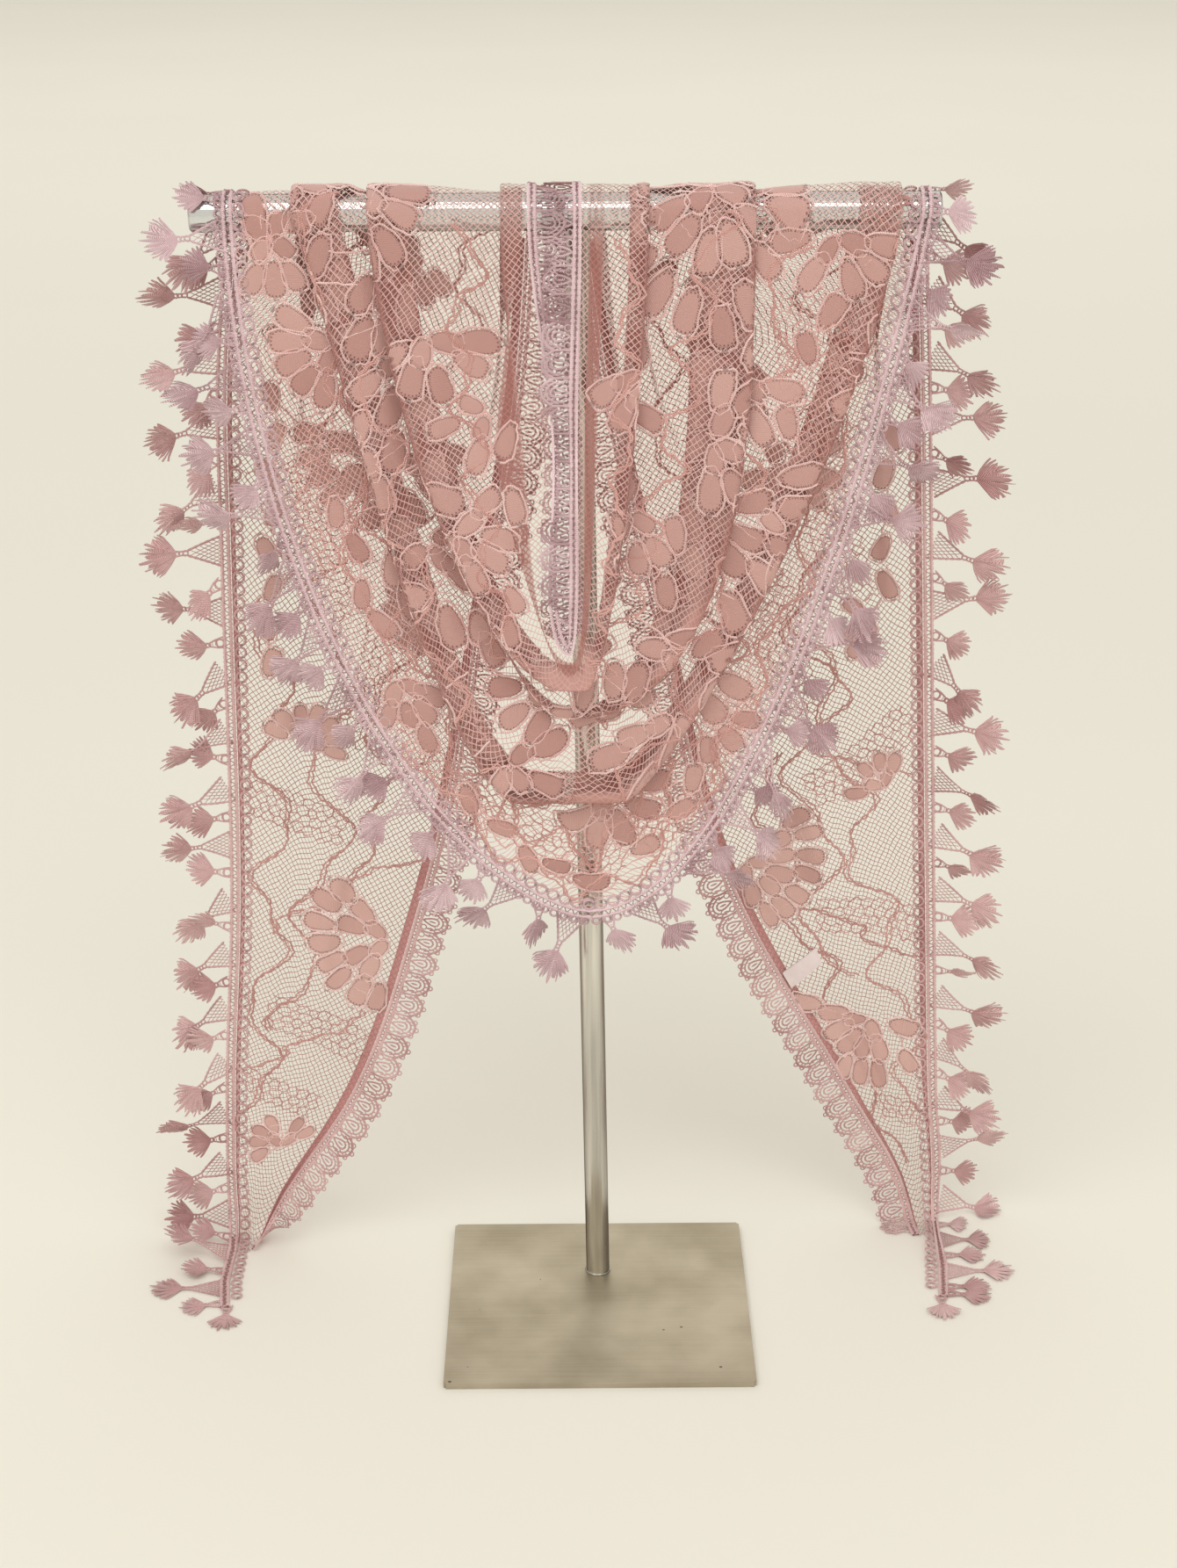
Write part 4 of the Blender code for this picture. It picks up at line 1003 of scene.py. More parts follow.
def flowers(surface, rng):
    """Satin petals, and the raised cord round each."""
    petals = petals_of_blooms(surface, rng) + petals_of_sprays(surface, rng)
    petals = spaced_out(petals, surface)
    satin, cord = Build(), Build()
    quads = ring_quads(len(PETAL_RINGS), PETAL_SIDES, False)
    k = np.arange(PETAL_SIDES)
    last = (len(PETAL_RINGS) - 1) * PETAL_SIDES
    tris = np.stack([last + k, last + (k + 1) % PETAL_SIDES, 0 * k + last + PETAL_SIDES], -1)
    shares, heights = np.array(PETAL_RINGS).T
    radial = np.append(np.repeat(shares, PETAL_SIDES), 0.0)
    dome = np.append(np.repeat(heights, PETAL_SIDES), 1.0) * PETAL_DOME
    for petal in petals:
        angle = math.radians(petal.turn)
        half = np.array([petal.length, petal.width]) / 2 * MM
        taper, blunt, phase = rng.uniform(0.12, 0.34), rng.uniform(0.62, 0.95), rng.uniform(0.0, 6.28)
        outline = np.tile(oval(PETAL_SIDES, taper, blunt, phase), len(shares))
        x, y = (radial * np.append(side, 0.0) * size for side, size in zip(outline, half))
        high = dome + PETAL_UNEVEN * rng.uniform(-1, 1, len(dome)) + PETAL_LIFT
        c, s = surface.around(petal.column, petal.across, *turned(x, y, angle))
        places = np.stack([x / MM, y / MM, radial], -1)
        tone = rng.uniform(0.0, 0.6)
        # The tails' petals are painted paler: painted light that lifts them in the shade behind the
        # front.
        if not surface.on_front(petal.column):
            tone = 0.5 + tone
        satin.add(surface.at(c, s, high)[0], quads, tris, places, tone)
        under = surface.at(c, s, -0.5 * high - 0.10 * MM)[0]
        satin.add(under, quads[:, ::-1], tris[:, ::-1], places, tone)
        uneven = 0.05 * np.sin(np.arange(RIM_SIDES) * 2.1 + tone * 9)
        out = RIM_OUT + uneven + rng.uniform(-0.05, 0.05, RIM_SIDES)
        x, y = oval(RIM_SIDES, taper, blunt, phase)
        x, y = turned(x * out * half[0], y * out * half[1], angle)
        c, s = surface.around(petal.column, petal.across, x, y)
        line, normal = surface.at(c, s, RIM_LIFT)
        add_cord(cord, line, normal, RIM_WIDE, RIM_HIGH, closed=True, twist=0.12, tone=tone)
    links(surface, cord, petals, rng)
    return satin, cord


def links(surface, cord, petals, rng):
    """Wavy cords that run from each petal to its nearest ones, and end under them."""
    columns = np.array([petal.column for petal in petals])
    shares = np.array([petal.across for petal in petals])
    lengths = np.array([petal.length for petal in petals])
    centres = surface.read(surface.grid, columns, shares)
    normals = surface.read(surface.normals, columns, shares)
    made = set()
    for i in range(len(petals)):
        apart = np.linalg.norm(centres - centres[i], axis=1)
        same = (normals @ normals[i] > 0.6) & (apart > LINK_FROM) & (apart < LINK_TO)
        for j in np.argsort(np.where(same, apart, 9.0))[:LINKS_EACH]:
            if not same[j] or (j, i) in made or abs(columns[j] - columns[i]) > LINK_COLUMNS:
                continue
            made.add((i, j))
            count = max(4, int(apart[j] / LINK_STEP / MM))
            ends = LINK_UNDER * lengths[[i, j]] / apart[j]
            if ends.sum() > LINK_MOST:
                continue
            t = np.linspace(ends[0], 1 - ends[1], count)
            column, q = mix(columns[i], columns[j], t), mix(shares[i], shares[j], t)
            bow = 2.2 * MM * np.sin(t * math.pi) * rng.uniform(-1, 1)
            bow = bow + rng.uniform(-0.5, 0.5, count) * MM
            c, s = surface.beside(column, q, bow, bow)
            if run_along(surface.read(surface.grid, c, s)[None], 1)[0, -1] > LINK_STRETCH * apart[j]:
                continue
            line, normal = surface.at(c, s, LINK_LIFT)
            add_cord(cord, line, normal, LINK_WIDE, LINK_WIDE, twist=0.12, tone=rng.uniform(0, 1))


# Patches of a wider, uneven mesh of cords, in bands across the net: length and width in
# millimetres.
Patch = namedtuple("Patch", "part along across turn length width")
PATCHES = [
    Patch("F", 0.18, 0.90, 10, 80, 24),
    Patch("F", 0.29, 0.72, 30, 80, 28),
    Patch("F", 0.38, 0.94, 0, 80, 20),
    Patch("F", 0.49, 0.86, 0, 90, 26),
    Patch("F", 0.58, 0.76, -15, 80, 28),
    Patch("F", 0.62, 0.94, 0, 80, 20),
    Patch("F", 0.71, 0.88, -10, 90, 30),
    Patch("F", 0.82, 0.84, 20, 80, 36),
    Patch("F", 0.88, 0.74, -10, 80, 34),
    Patch("F", 0.95, 0.56, 0, 70, 26),
    Patch("L", 0.30, 0.72, 20, 90, 26),
    Patch("L", 0.42, 0.40, -10, 80, 24),
    Patch("L", 0.54, 0.75, 80, 60, 20),
    Patch("L", 0.76, 0.40, 75, 64, 22),
    Patch("L", 0.82, 0.60, 75, 46, 16),
    Patch("R", 0.28, 0.70, 0, 90, 26),
    Patch("R", 0.40, 0.45, 15, 80, 26),
    Patch("R", 0.50, 0.72, -60, 70, 22),
    Patch("R", 0.66, 0.70, 70, 60, 22),
    Patch("R", 0.86, 0.55, 75, 36, 14),
]
MESH_CELL = 5.4 * MM
MESH_ROW = 0.86  # from row to row, by the cell
MESH_ZIGZAG = 0.17  # how far a row goes up and down, by the cell
MESH_UNEVEN = (0.18, 0.14)  # along and across, by the cell
MESH_SWAY = 3 * MM
MESH_STRETCH = 2.2  # cords longer than this, by the cell, are left out
MESH_LIFT = 0.2 * MM
MESH_THIN, MESH_THICK = 0.62 * MM, 1.0 * MM


def wide_mesh(surface, build, rng):
    """The patches' cords: the edges of uneven six-sided meshes."""
    uneven_x, uneven_y = MESH_UNEVEN
    for patch in PATCHES:
        column = surface.column(patch.part, patch.along)
        rows = int(patch.width * MM / MESH_CELL / MESH_ROW)
        steps = int(patch.length * MM / MESH_CELL)
        corner = {}
        for j in range(rows + 1):
            for i in range(2 * steps + 1):
                zigzag = MESH_ZIGZAG if (i + j) % 2 else -MESH_ZIGZAG
                x = (i - steps) * MESH_CELL / 2 + rng.uniform(-uneven_x, uneven_x) * MESH_CELL
                y = (j - rows / 2 + zigzag) * MESH_CELL * MESH_ROW
                sway = MESH_SWAY * math.sin(x / 0.017 + patch.along * 40)
                y += rng.uniform(-uneven_y, uneven_y) * MESH_CELL + sway
                corner[i, j] = turned(x, y, math.radians(patch.turn))
        ab = np.array(list(corner.values()))
        c, s = surface.around(column, patch.across, ab[:, 0], ab[:, 1])
        inside = (s > 0.02) & (s < 0.98) & (c > 1) & (c < len(surface.grid) - 2)
        points, normal = surface.at(c, s, MESH_LIFT)
        index = {key: n for n, key in enumerate(corner)}
        for (i, j), a in index.items():
            over = index.get((i + 1, j))
            down = index.get((i, j + 1)) if (i + j) % 2 else None
            for b in (over, down):
                if b is None or not (inside[a] and inside[b]):
                    continue
                if np.linalg.norm(points[a] - points[b]) > MESH_STRETCH * MESH_CELL:
                    continue
                ends = [a, b]
                wide = MESH_THIN if rng.uniform() < 0.8 else MESH_THICK
                tone = rng.uniform(0, 1)
                add_cord(build, points[ends], normal[ends], wide, 0.6 * MM, sides=3, tone=tone)


def vines(surface, rng):
    """Pairs of raised cords that wander between the flowers, with small loops."""
    build = Build()
    t = np.linspace(0.0, 1.0, VINE_POINTS)
    for vine in VINES:
        column = mix(surface.column(vine.part, vine.start), surface.column(vine.part, vine.end), t)
        q = mix(vine.across_a, vine.across_b, t)
        phase = rng.uniform(0, 6.28)
        sway = vine.sway * MM * np.sin(t * vine.waves * 2 * math.pi + phase)
        sway = sway + 0.35 * vine.sway * MM * np.sin(t * vine.waves * 4.7 * math.pi + phase * 2)
        for side in (-1, 1):
            off = sway + side * VINE_GAP / 2 * (0.55 + 0.75 * np.sin(t * VINE_POINTS * 0.13 + side))
            c, s = surface.beside(column, q, 0.0 * t, off)
            line, normal = surface.at(c, s, VINE_LIFT)
            run = run_along(line[None], 1)[0]
            steps = np.arange(0.0, run[-1], VINE_STEP)
            line = read_line(steps, run, line)
            normal = unit(read_line(steps, run, normal))
            aside = np.cross(unit(np.gradient(line, axis=0)), normal)
            jitter = 0.45 * MM * np.sin(np.arange(len(line)) * 1.9 + side)
            jitter = jitter + rng.uniform(-1, 1, len(line)) * 0.25 * MM
            line = line + aside * jitter[:, None]
            add_cord(build, line, normal, 0.95 * MM, 0.8 * MM, twist=0.15, tone=rng.uniform(0, 1))
    wide_mesh(surface, build, rng)
    return build


# ---------------------------------------------------------------- trims
Frames = namedtuple("Frames", "points tangents outward normals run")


def edge(line, inner, floor_run=()):
    """Frames along an edge of the cloth, and on past its end over the floor."""
    outward = line - inner
    if floor_run:
        side = math.copysign(1.0, outward[-1, 0])
        more = [(x, y, FLOOR_GAP + TRIM_THICK / 2) for x, y in floor_run]
        line = np.concatenate([line, more])
        outward = np.concatenate([outward, [(side, 0.0, 0.0)] * len(more)])
    run = run_along(line[None], 1)[0]
    tangents = unit(np.gradient(line, run, axis=0))
    return Frames(line, tangents, unit(outward), None, run)


def frames_at(frames, at):
    """Square frames at given runs along an edge."""

    def read(values):
        return read_line(at, frames.run, values)

    tangents = unit(read(frames.tangents))
    outward = read(frames.outward)
    outward = unit(outward - (outward * tangents).sum(-1, keepdims=True) * tangents)
    normals = np.cross(tangents, outward)
    return Frames(read(frames.points), tangents, outward, normals, np.asarray(at))


CORD_HALF = 0.7 * MM  # half the height of the trims' cords, where they lie on the floor
NEAR_BAR = 0.002  # over this height trims come clear of the bar


def above_floor(points):
    """Points lifted to a cord's half height over the floor."""
    points = points.copy()
    points[..., 2] = np.maximum(points[..., 2], FLOOR_GAP + CORD_HALF)
    return points


def off_the_bar(points):
    """Points moved clear of the crossbar, where they lie on it."""
    out = points - np.array([0.0, POLE_Y, BAR_Z])
    out[:, 0] = 0.0
    near = smooth((points[:, 2:] - BAR_Z + NEAR_BAR) / NEAR_BAR)
    return points + unit(out) * near * BAR_LIFT


class Motif(Build):
    """A small piece of guipure, drawn flat in millimetres: x across, y outwards, z up."""

    def cord(self, line, wide, high, closed=False, twist=0.0, sides=4):
        line = np.asarray(line, float)
        if line.shape[1] == 2:
            line = np.concatenate([line, np.zeros((len(line), 1))], 1)
        points = cord_points(line, np.tile(UP, (len(line), 1)), wide, high, closed, twist, sides)
        self.add(points, ring_quads(len(line), sides, closed))
        if not closed:
            first = np.arange(sides) - len(points) * sides
            ends = np.stack([first[::-1], first + (len(line) - 1) * sides])
            quads, tris = (ends, ()) if sides == 4 else ((), ends)
            self.add((), quads, tris)

    def ring(self, x, y, radius, wide, steps=9, sides=4, stretch=1.0):
        t = np.arange(steps) / steps * 2 * math.pi
        line = np.stack([x + radius * np.cos(t), y + radius * stretch * np.sin(t)], -1)
        self.cord(line, wide, wide, True, 0, sides)

    def leaf(self, x, y, length, width, turn, high=0.8):
        """A plump leaf, like a ridge with two pointed ends."""
        t = np.array([0.0, 0.3, 0.7, 1.0])
        wide = width * np.array([0.25, 1.0, 0.95, 0.35])
        a = math.radians(turn)
        along = np.array([math.cos(a), math.sin(a)])
        line = np.array([x, y]) + along * ((t - 0.5) * length)[:, None]
        self.cord(line, wide, np.full(4, high))


FAN_SPREAD = 112  # degrees


def fan(motif, root_y, reach, side_reach, fingers):
    """A scallop-shell fan of fingers that stand apart at their tips."""
    for k in range(fingers):
        share = (k + 0.5) / fingers * 2 - 1
        angle = math.radians(90 - share * FAN_SPREAD / 2)
        length = mix(reach, side_reach, abs(share) ** 1.6)
        aim = np.array([math.cos(angle), math.sin(angle)])
        t = np.array([0.08, 0.42, 0.84, 1.0])
        line = np.array([0.0, root_y]) + aim * (t * length)[:, None]
        gap = 2 * math.sin(math.radians(FAN_SPREAD / fingers / 2)) * length
        wide = np.array([0.5, 0.66 * gap, 0.72 * gap, 0.34 * gap])
        lift = 0.35 * np.sin(t * 3.0) * (1 - 0.4 * share**2) + 0.16 * (-1) ** k * t
        bow = np.stack([line[:, 0], line[:, 1], lift], -1)
        motif.cord(bow, np.maximum(wide, 0.35), np.array([0.8, 0.75, 0.8, 0.5]))
    t = np.linspace(-1, 1, 7)
    angle = np.radians(t * FAN_SPREAD / 2)
    arc = np.stack([np.sin(angle), np.cos(angle)], -1)
    reach_at = mix(reach, side_reach, np.abs(t) ** 1.6)[:, None]
    motif.cord(arc * reach_at * 0.40 + [0, root_y], 0.6, 0.5, sides=3)
    motif.ring(0.0, root_y + 0.2, 1.3, 0.9, 7, 4, 0.8)


def long_pendant():
    """A net tooth, a neck of small eyelets and a large fan."""
    m = Motif()
    half, tall = 7.6, 15.5
    for side in (-1, 1):
        t = np.linspace(0.0, 1.0, 13)
        line = np.stack([side * (half - (half - 1.1) * t), tall * t], -1)
        m.cord(line, 1.15, 1.0, twist=0.2)
    for side in (-1, 1):
        for k in range(1, 8):
            start = half * (1 - k / 4)
            run = (half + start) / (2 * half)
            a, b = (side * start, 0.2), (side * (start - half * run), tall * run)
            m.cord([a, b], 0.50, 0.45, sides=3)
    m.ring(0.0, tall + 1.0, 1.25, 0.85, 7, 4)
    m.ring(0.0, tall + 3.2, 1.05, 0.8, 7, 4)
    for side in (-1, 1):
        m.cord([(side * 0.9, tall), (side * 1.0, tall + 5.0)], 0.8, 0.7)
    fan(m, tall + 4.6, 16.4, 12.4, 13)
    return m.gather()


def short_pendant():
    """A ring, a short net stalk and a fan."""
    m = Motif()
    m.ring(0.0, 2.0, 2.0, 0.95, 9, 4)
    for side in (-1, 1):
        m.cord([(side * 2.9, 0.0), (side * 2.1, 3.6), (side * 0.9, 7.2)], 0.9, 0.8, twist=0.15)
    m.cord([(-2.2, 3.4), (2.2, 3.4)], 0.45, 0.4, sides=3)
    m.cord([(-1.4, 5.6), (1.4, 5.6)], 0.45, 0.4, sides=3)
    m.ring(0.0, 7.6, 1.1, 0.85, 7, 4)
    fan(m, 7.8, 14.0, 10.8, 11)
    return m.gather()


def scallop_motif():
    """One scallop of the edging, a pitch wide."""
    m = Motif()
    t = np.linspace(-1.0, 1.0, 17)
    outer = np.stack([6.25 * t, 7.6 + 5.6 * (1 - np.abs(t) ** 2.4)], -1)
    inner = np.stack([5.1 * t, 5.4 + 5.6 * (1 - np.abs(t) ** 2.4)], -1)
    m.cord(outer, 1.3, 1.0, twist=0.18)
    m.cord(inner, 0.9, 0.8, twist=0.12)
    for k in (1, 3, 5, 8, 11, 13, 15):
        m.cord([outer[k], inner[k]], 0.7, 0.6, sides=3)
    for x, y in ((-3.9, 12.2), (0.0, 14.0), (3.9, 12.2)):
        m.ring(x, y, 1.15, 0.8, 7, 3)
    t = np.arange(12) / 12 * 2 * math.pi
    drop = np.stack([2.5 * np.sin(t) * (0.75 - 0.45 * np.cos(t)), 5.0 - 4.0 * np.cos(t)], -1)
    m.cord(drop, 1.0, 0.85, closed=True)
    m.leaf(0.0, 5.6, 3.6, 1.0, 90)
    m.cord([(-6.25, 0.0), (-6.0, 4.2), (-6.25, 7.6)], 1.1, 0.9)
    for side in (-1, 1):
        m.ring(side * 4.0, 2.0, 1.4, 0.8, 8, 3)
        m.leaf(side * 4.1, 5.0, 3.4, 1.1, 90 + side * 14, 0.7)
        m.cord([(side * 2.2, 7.0), (side * 3.6, 8.6)], 0.6, 0.55, sides=3)
    return m.gather()


GROWS_AT = 0.9  # share of a heading's width at which its pendants or scallops grow
HEAD_CORDS = (0.14, 0.86)  # where its two cords and the zigzag's turns lie, as shares of it
HEAD_TURNS = (0.84, 0.16)
HEAD_STEP, ZIGZAG_STEP = 1.25 * MM, 1.9 * MM
HEAD_END, ZIGZAG_END = 0.6 * MM, 0.8 * MM


def header(build, frames_of, width, length, offset):
    """A corded heading: two twisted cords and the zigzag between them."""
    count = max(8, int(length / HEAD_STEP))
    f = frames_of(np.linspace(HEAD_END, length - HEAD_END, count))
    for share in HEAD_CORDS:
        line = above_floor(f.points + f.outward * (offset + width * share))
        add_cord(build, line, f.normals, 1.8 * MM, 1.5 * MM, twist=0.20, tone=1.5)
    count = max(6, int(length / ZIGZAG_STEP))
    f = frames_of(np.linspace(ZIGZAG_END, length - ZIGZAG_END, count))
    share = np.take(HEAD_TURNS, np.arange(count) % 2)[:, None]
    line = above_floor(f.points + f.outward * (offset + width * share))
    add_cord(build, line, f.normals, 0.9 * MM, 1.0 * MM, tone=-0.4)


LADDER_END = 2 * MM
LADDER_SIDES = 10


def ring_ladder(build, frames_of, length, inward, radius):
    """Touching rings along a side of the fringe's heading."""
    pitch = 2.4 * radius
    count = int((length - 2 * LADDER_END) / pitch)
    f = frames_of(LADDER_END + pitch * (np.arange(count) + 0.5))
    t = np.arange(LADDER_SIDES) / LADDER_SIDES * 2 * math.pi
    for k in range(count):
        p = f.points[k] - f.outward[k] * inward
        line = p + f.tangents[k] * (np.cos(t) * radius)[:, None]
        line = line + f.outward[k] * (np.sin(t) * 0.92 * radius)[:, None]
        normals = np.tile(f.normals[k], (len(t), 1))
        add_cord(build, above_floor(line), normals, 1.25 * MM, 1.3 * MM, closed=True, tone=0.7)


ROOT = TRIM_GAP + FRINGE_HEAD * GROWS_AT  # where a pendant grows, out from the cloth's edge
LIES_FLAT = 0.004  # a heading lower than this has its pendants flat on the floor
NEAR_FLOOR = 0.006  # a heading lower than this keeps its pendants from swinging forward


def place_pendant(build, shape, length, hang, frames, forward, rng):
    """Hangs a pendant between two places of the heading, twisted and bent by its weight."""
    points, quads, tris = shape
    p, t, o, n = (values[0] + values[1] for values in frames[:4])
    p, t, o, n = p / 2, unit(t), unit(o), unit(n) * forward
    lies = smooth(1.0 - (p[2] - LIES_FLAT) / 0.02)
    if p[2] > BAR_Z - NEAR_BAR:
        lies = 1.0
        o = o + unit(np.array([0.0, p[1] - POLE_Y, p[2] - BAR_Z])) * 0.06
    low = smooth((p[2] - NEAR_FLOOR) / 0.05)
    o = unit(o * np.array([1.0, mix(0.2, 1.0, low), 1.0]))
    stray = rng.uniform(-0.55, 0.55) * t + rng.uniform(-0.2, 0.2) * n - rng.uniform(-0.2, 0.5) * UP
    hangs = (hang.swing * t + hang.lean * n * low - PENDANT_DROOP * UP + stray * low) * (1.0 - lies)
    heading = unit(o + hangs)
    across = unit(t - (t @ heading) * heading)
    face = np.cross(across, heading)
    x, y, z = points[:, 0] * MM, points[:, 1] * MM, points[:, 2] * MM
    share = np.clip(y / length, 0.0, 1.0)
    ragged, leaning = rng.uniform(0, 6.28, 2)
    y = y * (1.0 + 0.065 * np.sin(points[:, 0] * 1.5 + ragged) * share**3)
    x = x + 0.55 * MM * np.sin(points[:, 0] * 0.8 + leaning) * share**3
    turn = np.radians(hang.twist + rng.uniform(-25, 25)) * share * (1.0 - lies)
    curl = rng.uniform(-0.16, 0.20) * length * share**2 * (1.0 - lies) * low
    swing = rng.uniform(-0.20, 0.20) * length * share**2 * low
    w = across * np.cos(turn)[:, None] + face * np.sin(turn)[:, None]
    h = face * np.cos(turn)[:, None] - across * np.sin(turn)[:, None]
    flat = 1.0 + rng.uniform(-0.08, 0.05)
    cup = rng.uniform(-0.03, 0.05) / MM * x**2 * share
    made = p + o * ROOT + heading * (y * flat)[:, None]
    made = made + w * x[:, None] + h * cup[:, None]
    made = above_floor(made + face * curl[:, None] + across * swing[:, None])
    build.add(made + h * z[:, None], quads, tris, points, rng.uniform(0, 1))


# The end of each tail's heading on the floor spreads into more fans, turned by this much.
END_FANS = (38, 84)
LADDER_R = 2.7 * MM
LOWER_LADDER_R = 1.9 * MM


def fringe(name, line, material, forward, rng, node):
    """Fan pendants, short and long in turn, on a corded heading along a short edge."""
    build = Build()
    long_one, short_one = long_pendant(), short_pendant()
    turns = ((SHORT_PENDANT, short_one), (LONG_PENDANT, long_one))
    length = line.run[-1]
    in_front = node == "fringe_front"

    def frames_of(at):
        f = frames_at(line, at)
        return f._replace(points=off_the_bar(f.points))

    header(build, frames_of, FRINGE_HEAD, length, TRIM_GAP)
    ring_ladder(build, frames_of, length, (2.2 if in_front else 3.3) * MM, LADDER_R)
    if in_front:
        ring_ladder(build, frames_of, length, -TRIM_GAP - FRINGE_HEAD - 1.6 * MM, LOWER_LADDER_R)
    at = FIRST_PENDANT
    k = 0
    while True:
        pendant, shape = turns[k % 2]
        if at + pendant.root_width > length - FIRST_PENDANT:
            break
        frames = frames_of(np.array([at, at + pendant.root_width]))
        place_pendant(build, shape, pendant.length, HANGS[k % len(HANGS)], frames, forward, rng)
        at += pendant.root_width + PENDANT_GAP
        k += 1
    last = frames_of(np.array([length - 3 * MM, length - MM]))
    end_fans = () if in_front else END_FANS
    for turn in end_fans:
        c, w = math.cos(math.radians(turn)), math.sin(math.radians(turn))
        outward = last.outward * c + last.tangents * w
        aimed = last._replace(
            points=last.points + last.outward * ROOT * (1.2 - turn / 100) - outward * ROOT,
            outward=outward,
            tangents=last.tangents * c - last.outward * w,
        )
        hang = HANGS[k % len(HANGS)]
        place_pendant(build, short_one, SHORT_PENDANT.length, hang, aimed, forward, rng)
        k += 1
    made = build.finish(name, material, "guipure")
    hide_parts(node)
    return made


def scallops(name, line, material, turns, node):
    """Scalloped edging, turned back from the cloth's plane as the turns say."""
    build = Build()
    length = line.run[-1]
    table = [math.radians(turn.back) for turn in turns]
    shares = [turn.share for turn in turns]

    def frames_of(at):
        f = frames_at(line, at)
        back = smooth_table(shares, table, np.clip(np.asarray(at) / length, 0, 1))[:, None]
        outward = f.outward * np.cos(back) - f.normals * np.sin(back)
        reach = SCALLOP_HEAD + SCALLOP_DEPTH
        lowest = (TRIM_THICK - f.points[:, 2]) / reach
        outward[:, 2] = np.maximum(outward[:, 2], np.minimum(lowest, 0.0))
        on_top = smooth((f.points[:, 2] - BAR_Z) / 0.003)
        outward[:, 2] *= 1.0 - on_top * (outward[:, 2] > 0)
        outward = unit(outward)
        normals = unit(np.cross(f.tangents, outward))
        flat = outward * np.cos(back) + normals * np.sin(back)
        base = off_the_bar(f.points) + flat * (TRIM_GAP + TRIM_THICK / 2 * np.abs(np.sin(back)))
        return f._replace(points=base, outward=outward, normals=normals)

    header(build, frames_of, SCALLOP_HEAD, length, 0.0)
    points, quads, tris = scallop_motif()
    count = int((length - SCALLOP_SPARE) / SCALLOP_PITCH)
    first = (length - count * SCALLOP_PITCH) / 2
    for k in range(count):
        centre = first + (k + 0.5) * SCALLOP_PITCH
        at = centre + points[:, 0] * MM * SCALLOP_PITCH / MOTIF_WIDE
        f = frames_of(np.clip(at, 0.0, length))
        made = f.points + f.outward * (SCALLOP_HEAD * GROWS_AT + points[:, 1:2] * MM * 1.02)
        made = above_floor(made) + f.normals * points[:, 2:] * MM
        build.add(made, quads, tris, points, (k * 0.37) % 1.0)
    made = build.finish(name, material, "guipure")
    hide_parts(node)
    return made


HEM_STEPS = 110
HEM_PROFILE = ((0.0, 0.2), (0.12, 0.8), (0.5, 0.95), (0.88, 0.8), (1.0, 0.15))  # (out, height)
HEM_HIGH = 0.9


def hem_band(build, surface, part, q_edge, wide, tone):
    """A folded satin band that lies along an edge of the cloth."""
    start, end = (surface.column(part, share) for share in HEM_SPAN)
    column = mix(start, end, np.linspace(0, 1, HEM_STEPS))
    still = np.zeros(HEM_STEPS)
    sign = 1.0 if q_edge < 0.5 else -1.0
    rows = []
    for out, high in HEM_PROFILE:
        c, s = surface.beside(column, still + q_edge, still, still + sign * wide * out)
        rows.append(surface.at(c, s, high * MM * HEM_HIGH)[0])
    rows = np.array(rows).transpose(1, 0, 2)
    places = np.zeros(rows.shape)
    places[..., 0] = run_along(rows[:, 0][None], 1)[0][:, None] / MM
    places[..., 1] = np.array([out for out, _ in HEM_PROFILE])[None] * wide / MM
    build.add(rows, grid_quads(HEM_STEPS, len(HEM_PROFILE)), places=places, tone=tone)


# ---------------------------------------------------------------- materials
class Nodes:
    """The nodes of a material, or of the world, made and joined in one call each."""

    def __init__(self, name, kind="materials", shader="Principled BSDF"):
        self.holder = getattr(bpy.data, kind).new(name)
        self.holder.use_nodes = True
        self.tree = self.holder.node_tree
        self.shader = self.tree.nodes[shader]

    def feed(self, value, socket):
        if isinstance(value, bpy.types.NodeSocket):
            self.tree.links.new(value, socket)
        else:
            socket.default_value = value

    def node(self, kind, inputs=(), out=0, **settings):
        made = self.tree.nodes.new(kind)
        for key, value in settings.items():
            setattr(made, key, value)
        for key, value in dict(inputs).items():
            self.feed(value, made.inputs[key])
        return made.outputs[out]

    def maths(self, operation, a, b=0.0, c=0.0):
        return self.node("ShaderNodeMath", {0: a, 1: b, 2: c}, operation=operation)

    def times(self, a, b):
        return self.maths("MULTIPLY", a, b)

    def vector(self, operation, a, b):
        return self.node("ShaderNodeVectorMath", {0: a, 1: b}, operation=operation)

    def split(self, vector):
        """A vector's three parts."""
        made = self.tree.nodes.new("ShaderNodeSeparateXYZ")
        self.tree.links.new(vector, made.inputs[0])
        return made.outputs

    def ramp(self, value, low, high, top=1.0):
        """0 up to the low value, rising to its top at the high one."""
        return self.node("ShaderNodeMapRange", {0: value, 1: low, 2: high, 4: top})

    def attribute(self, name, out):
        return self.node("ShaderNodeAttribute", attribute_name=name, out=out)

    def blend(self, share, a, b):
        """A colour between two, which are given as colours or come from other nodes."""
        a, b = ((*colour, 1.0) if isinstance(colour, tuple) else colour for colour in (a, b))
        return self.node("ShaderNodeMix", {0: share, 6: a, 7: b}, out=2, data_type="RGBA")

    def noise(self, scale, detail, vector, out=0):
        inputs = {"Vector": vector, "Scale": scale, "Detail": detail}
        return self.node("ShaderNodeTexNoise", inputs, out=out)

    def bump(self, height, distance, strength):
        inputs = {"Strength": strength, "Distance": distance, "Height": height}
        self.feed(self.node("ShaderNodeBump", inputs), self.shader.inputs["Normal"])

    def finish(self, **values):
        for key, value in values.items():
            self.feed(value, self.shader.inputs[key.replace("_", " ")])
        return self.holder


def srgb(r, g, b):
    """Linear colour of a colour given as it looks, 0 to 255."""
    return tuple(((c / 255 + 0.055) / 1.055) ** 2.4 if c > 10 else c / 255 / 12.92 for c in (r, g, b))


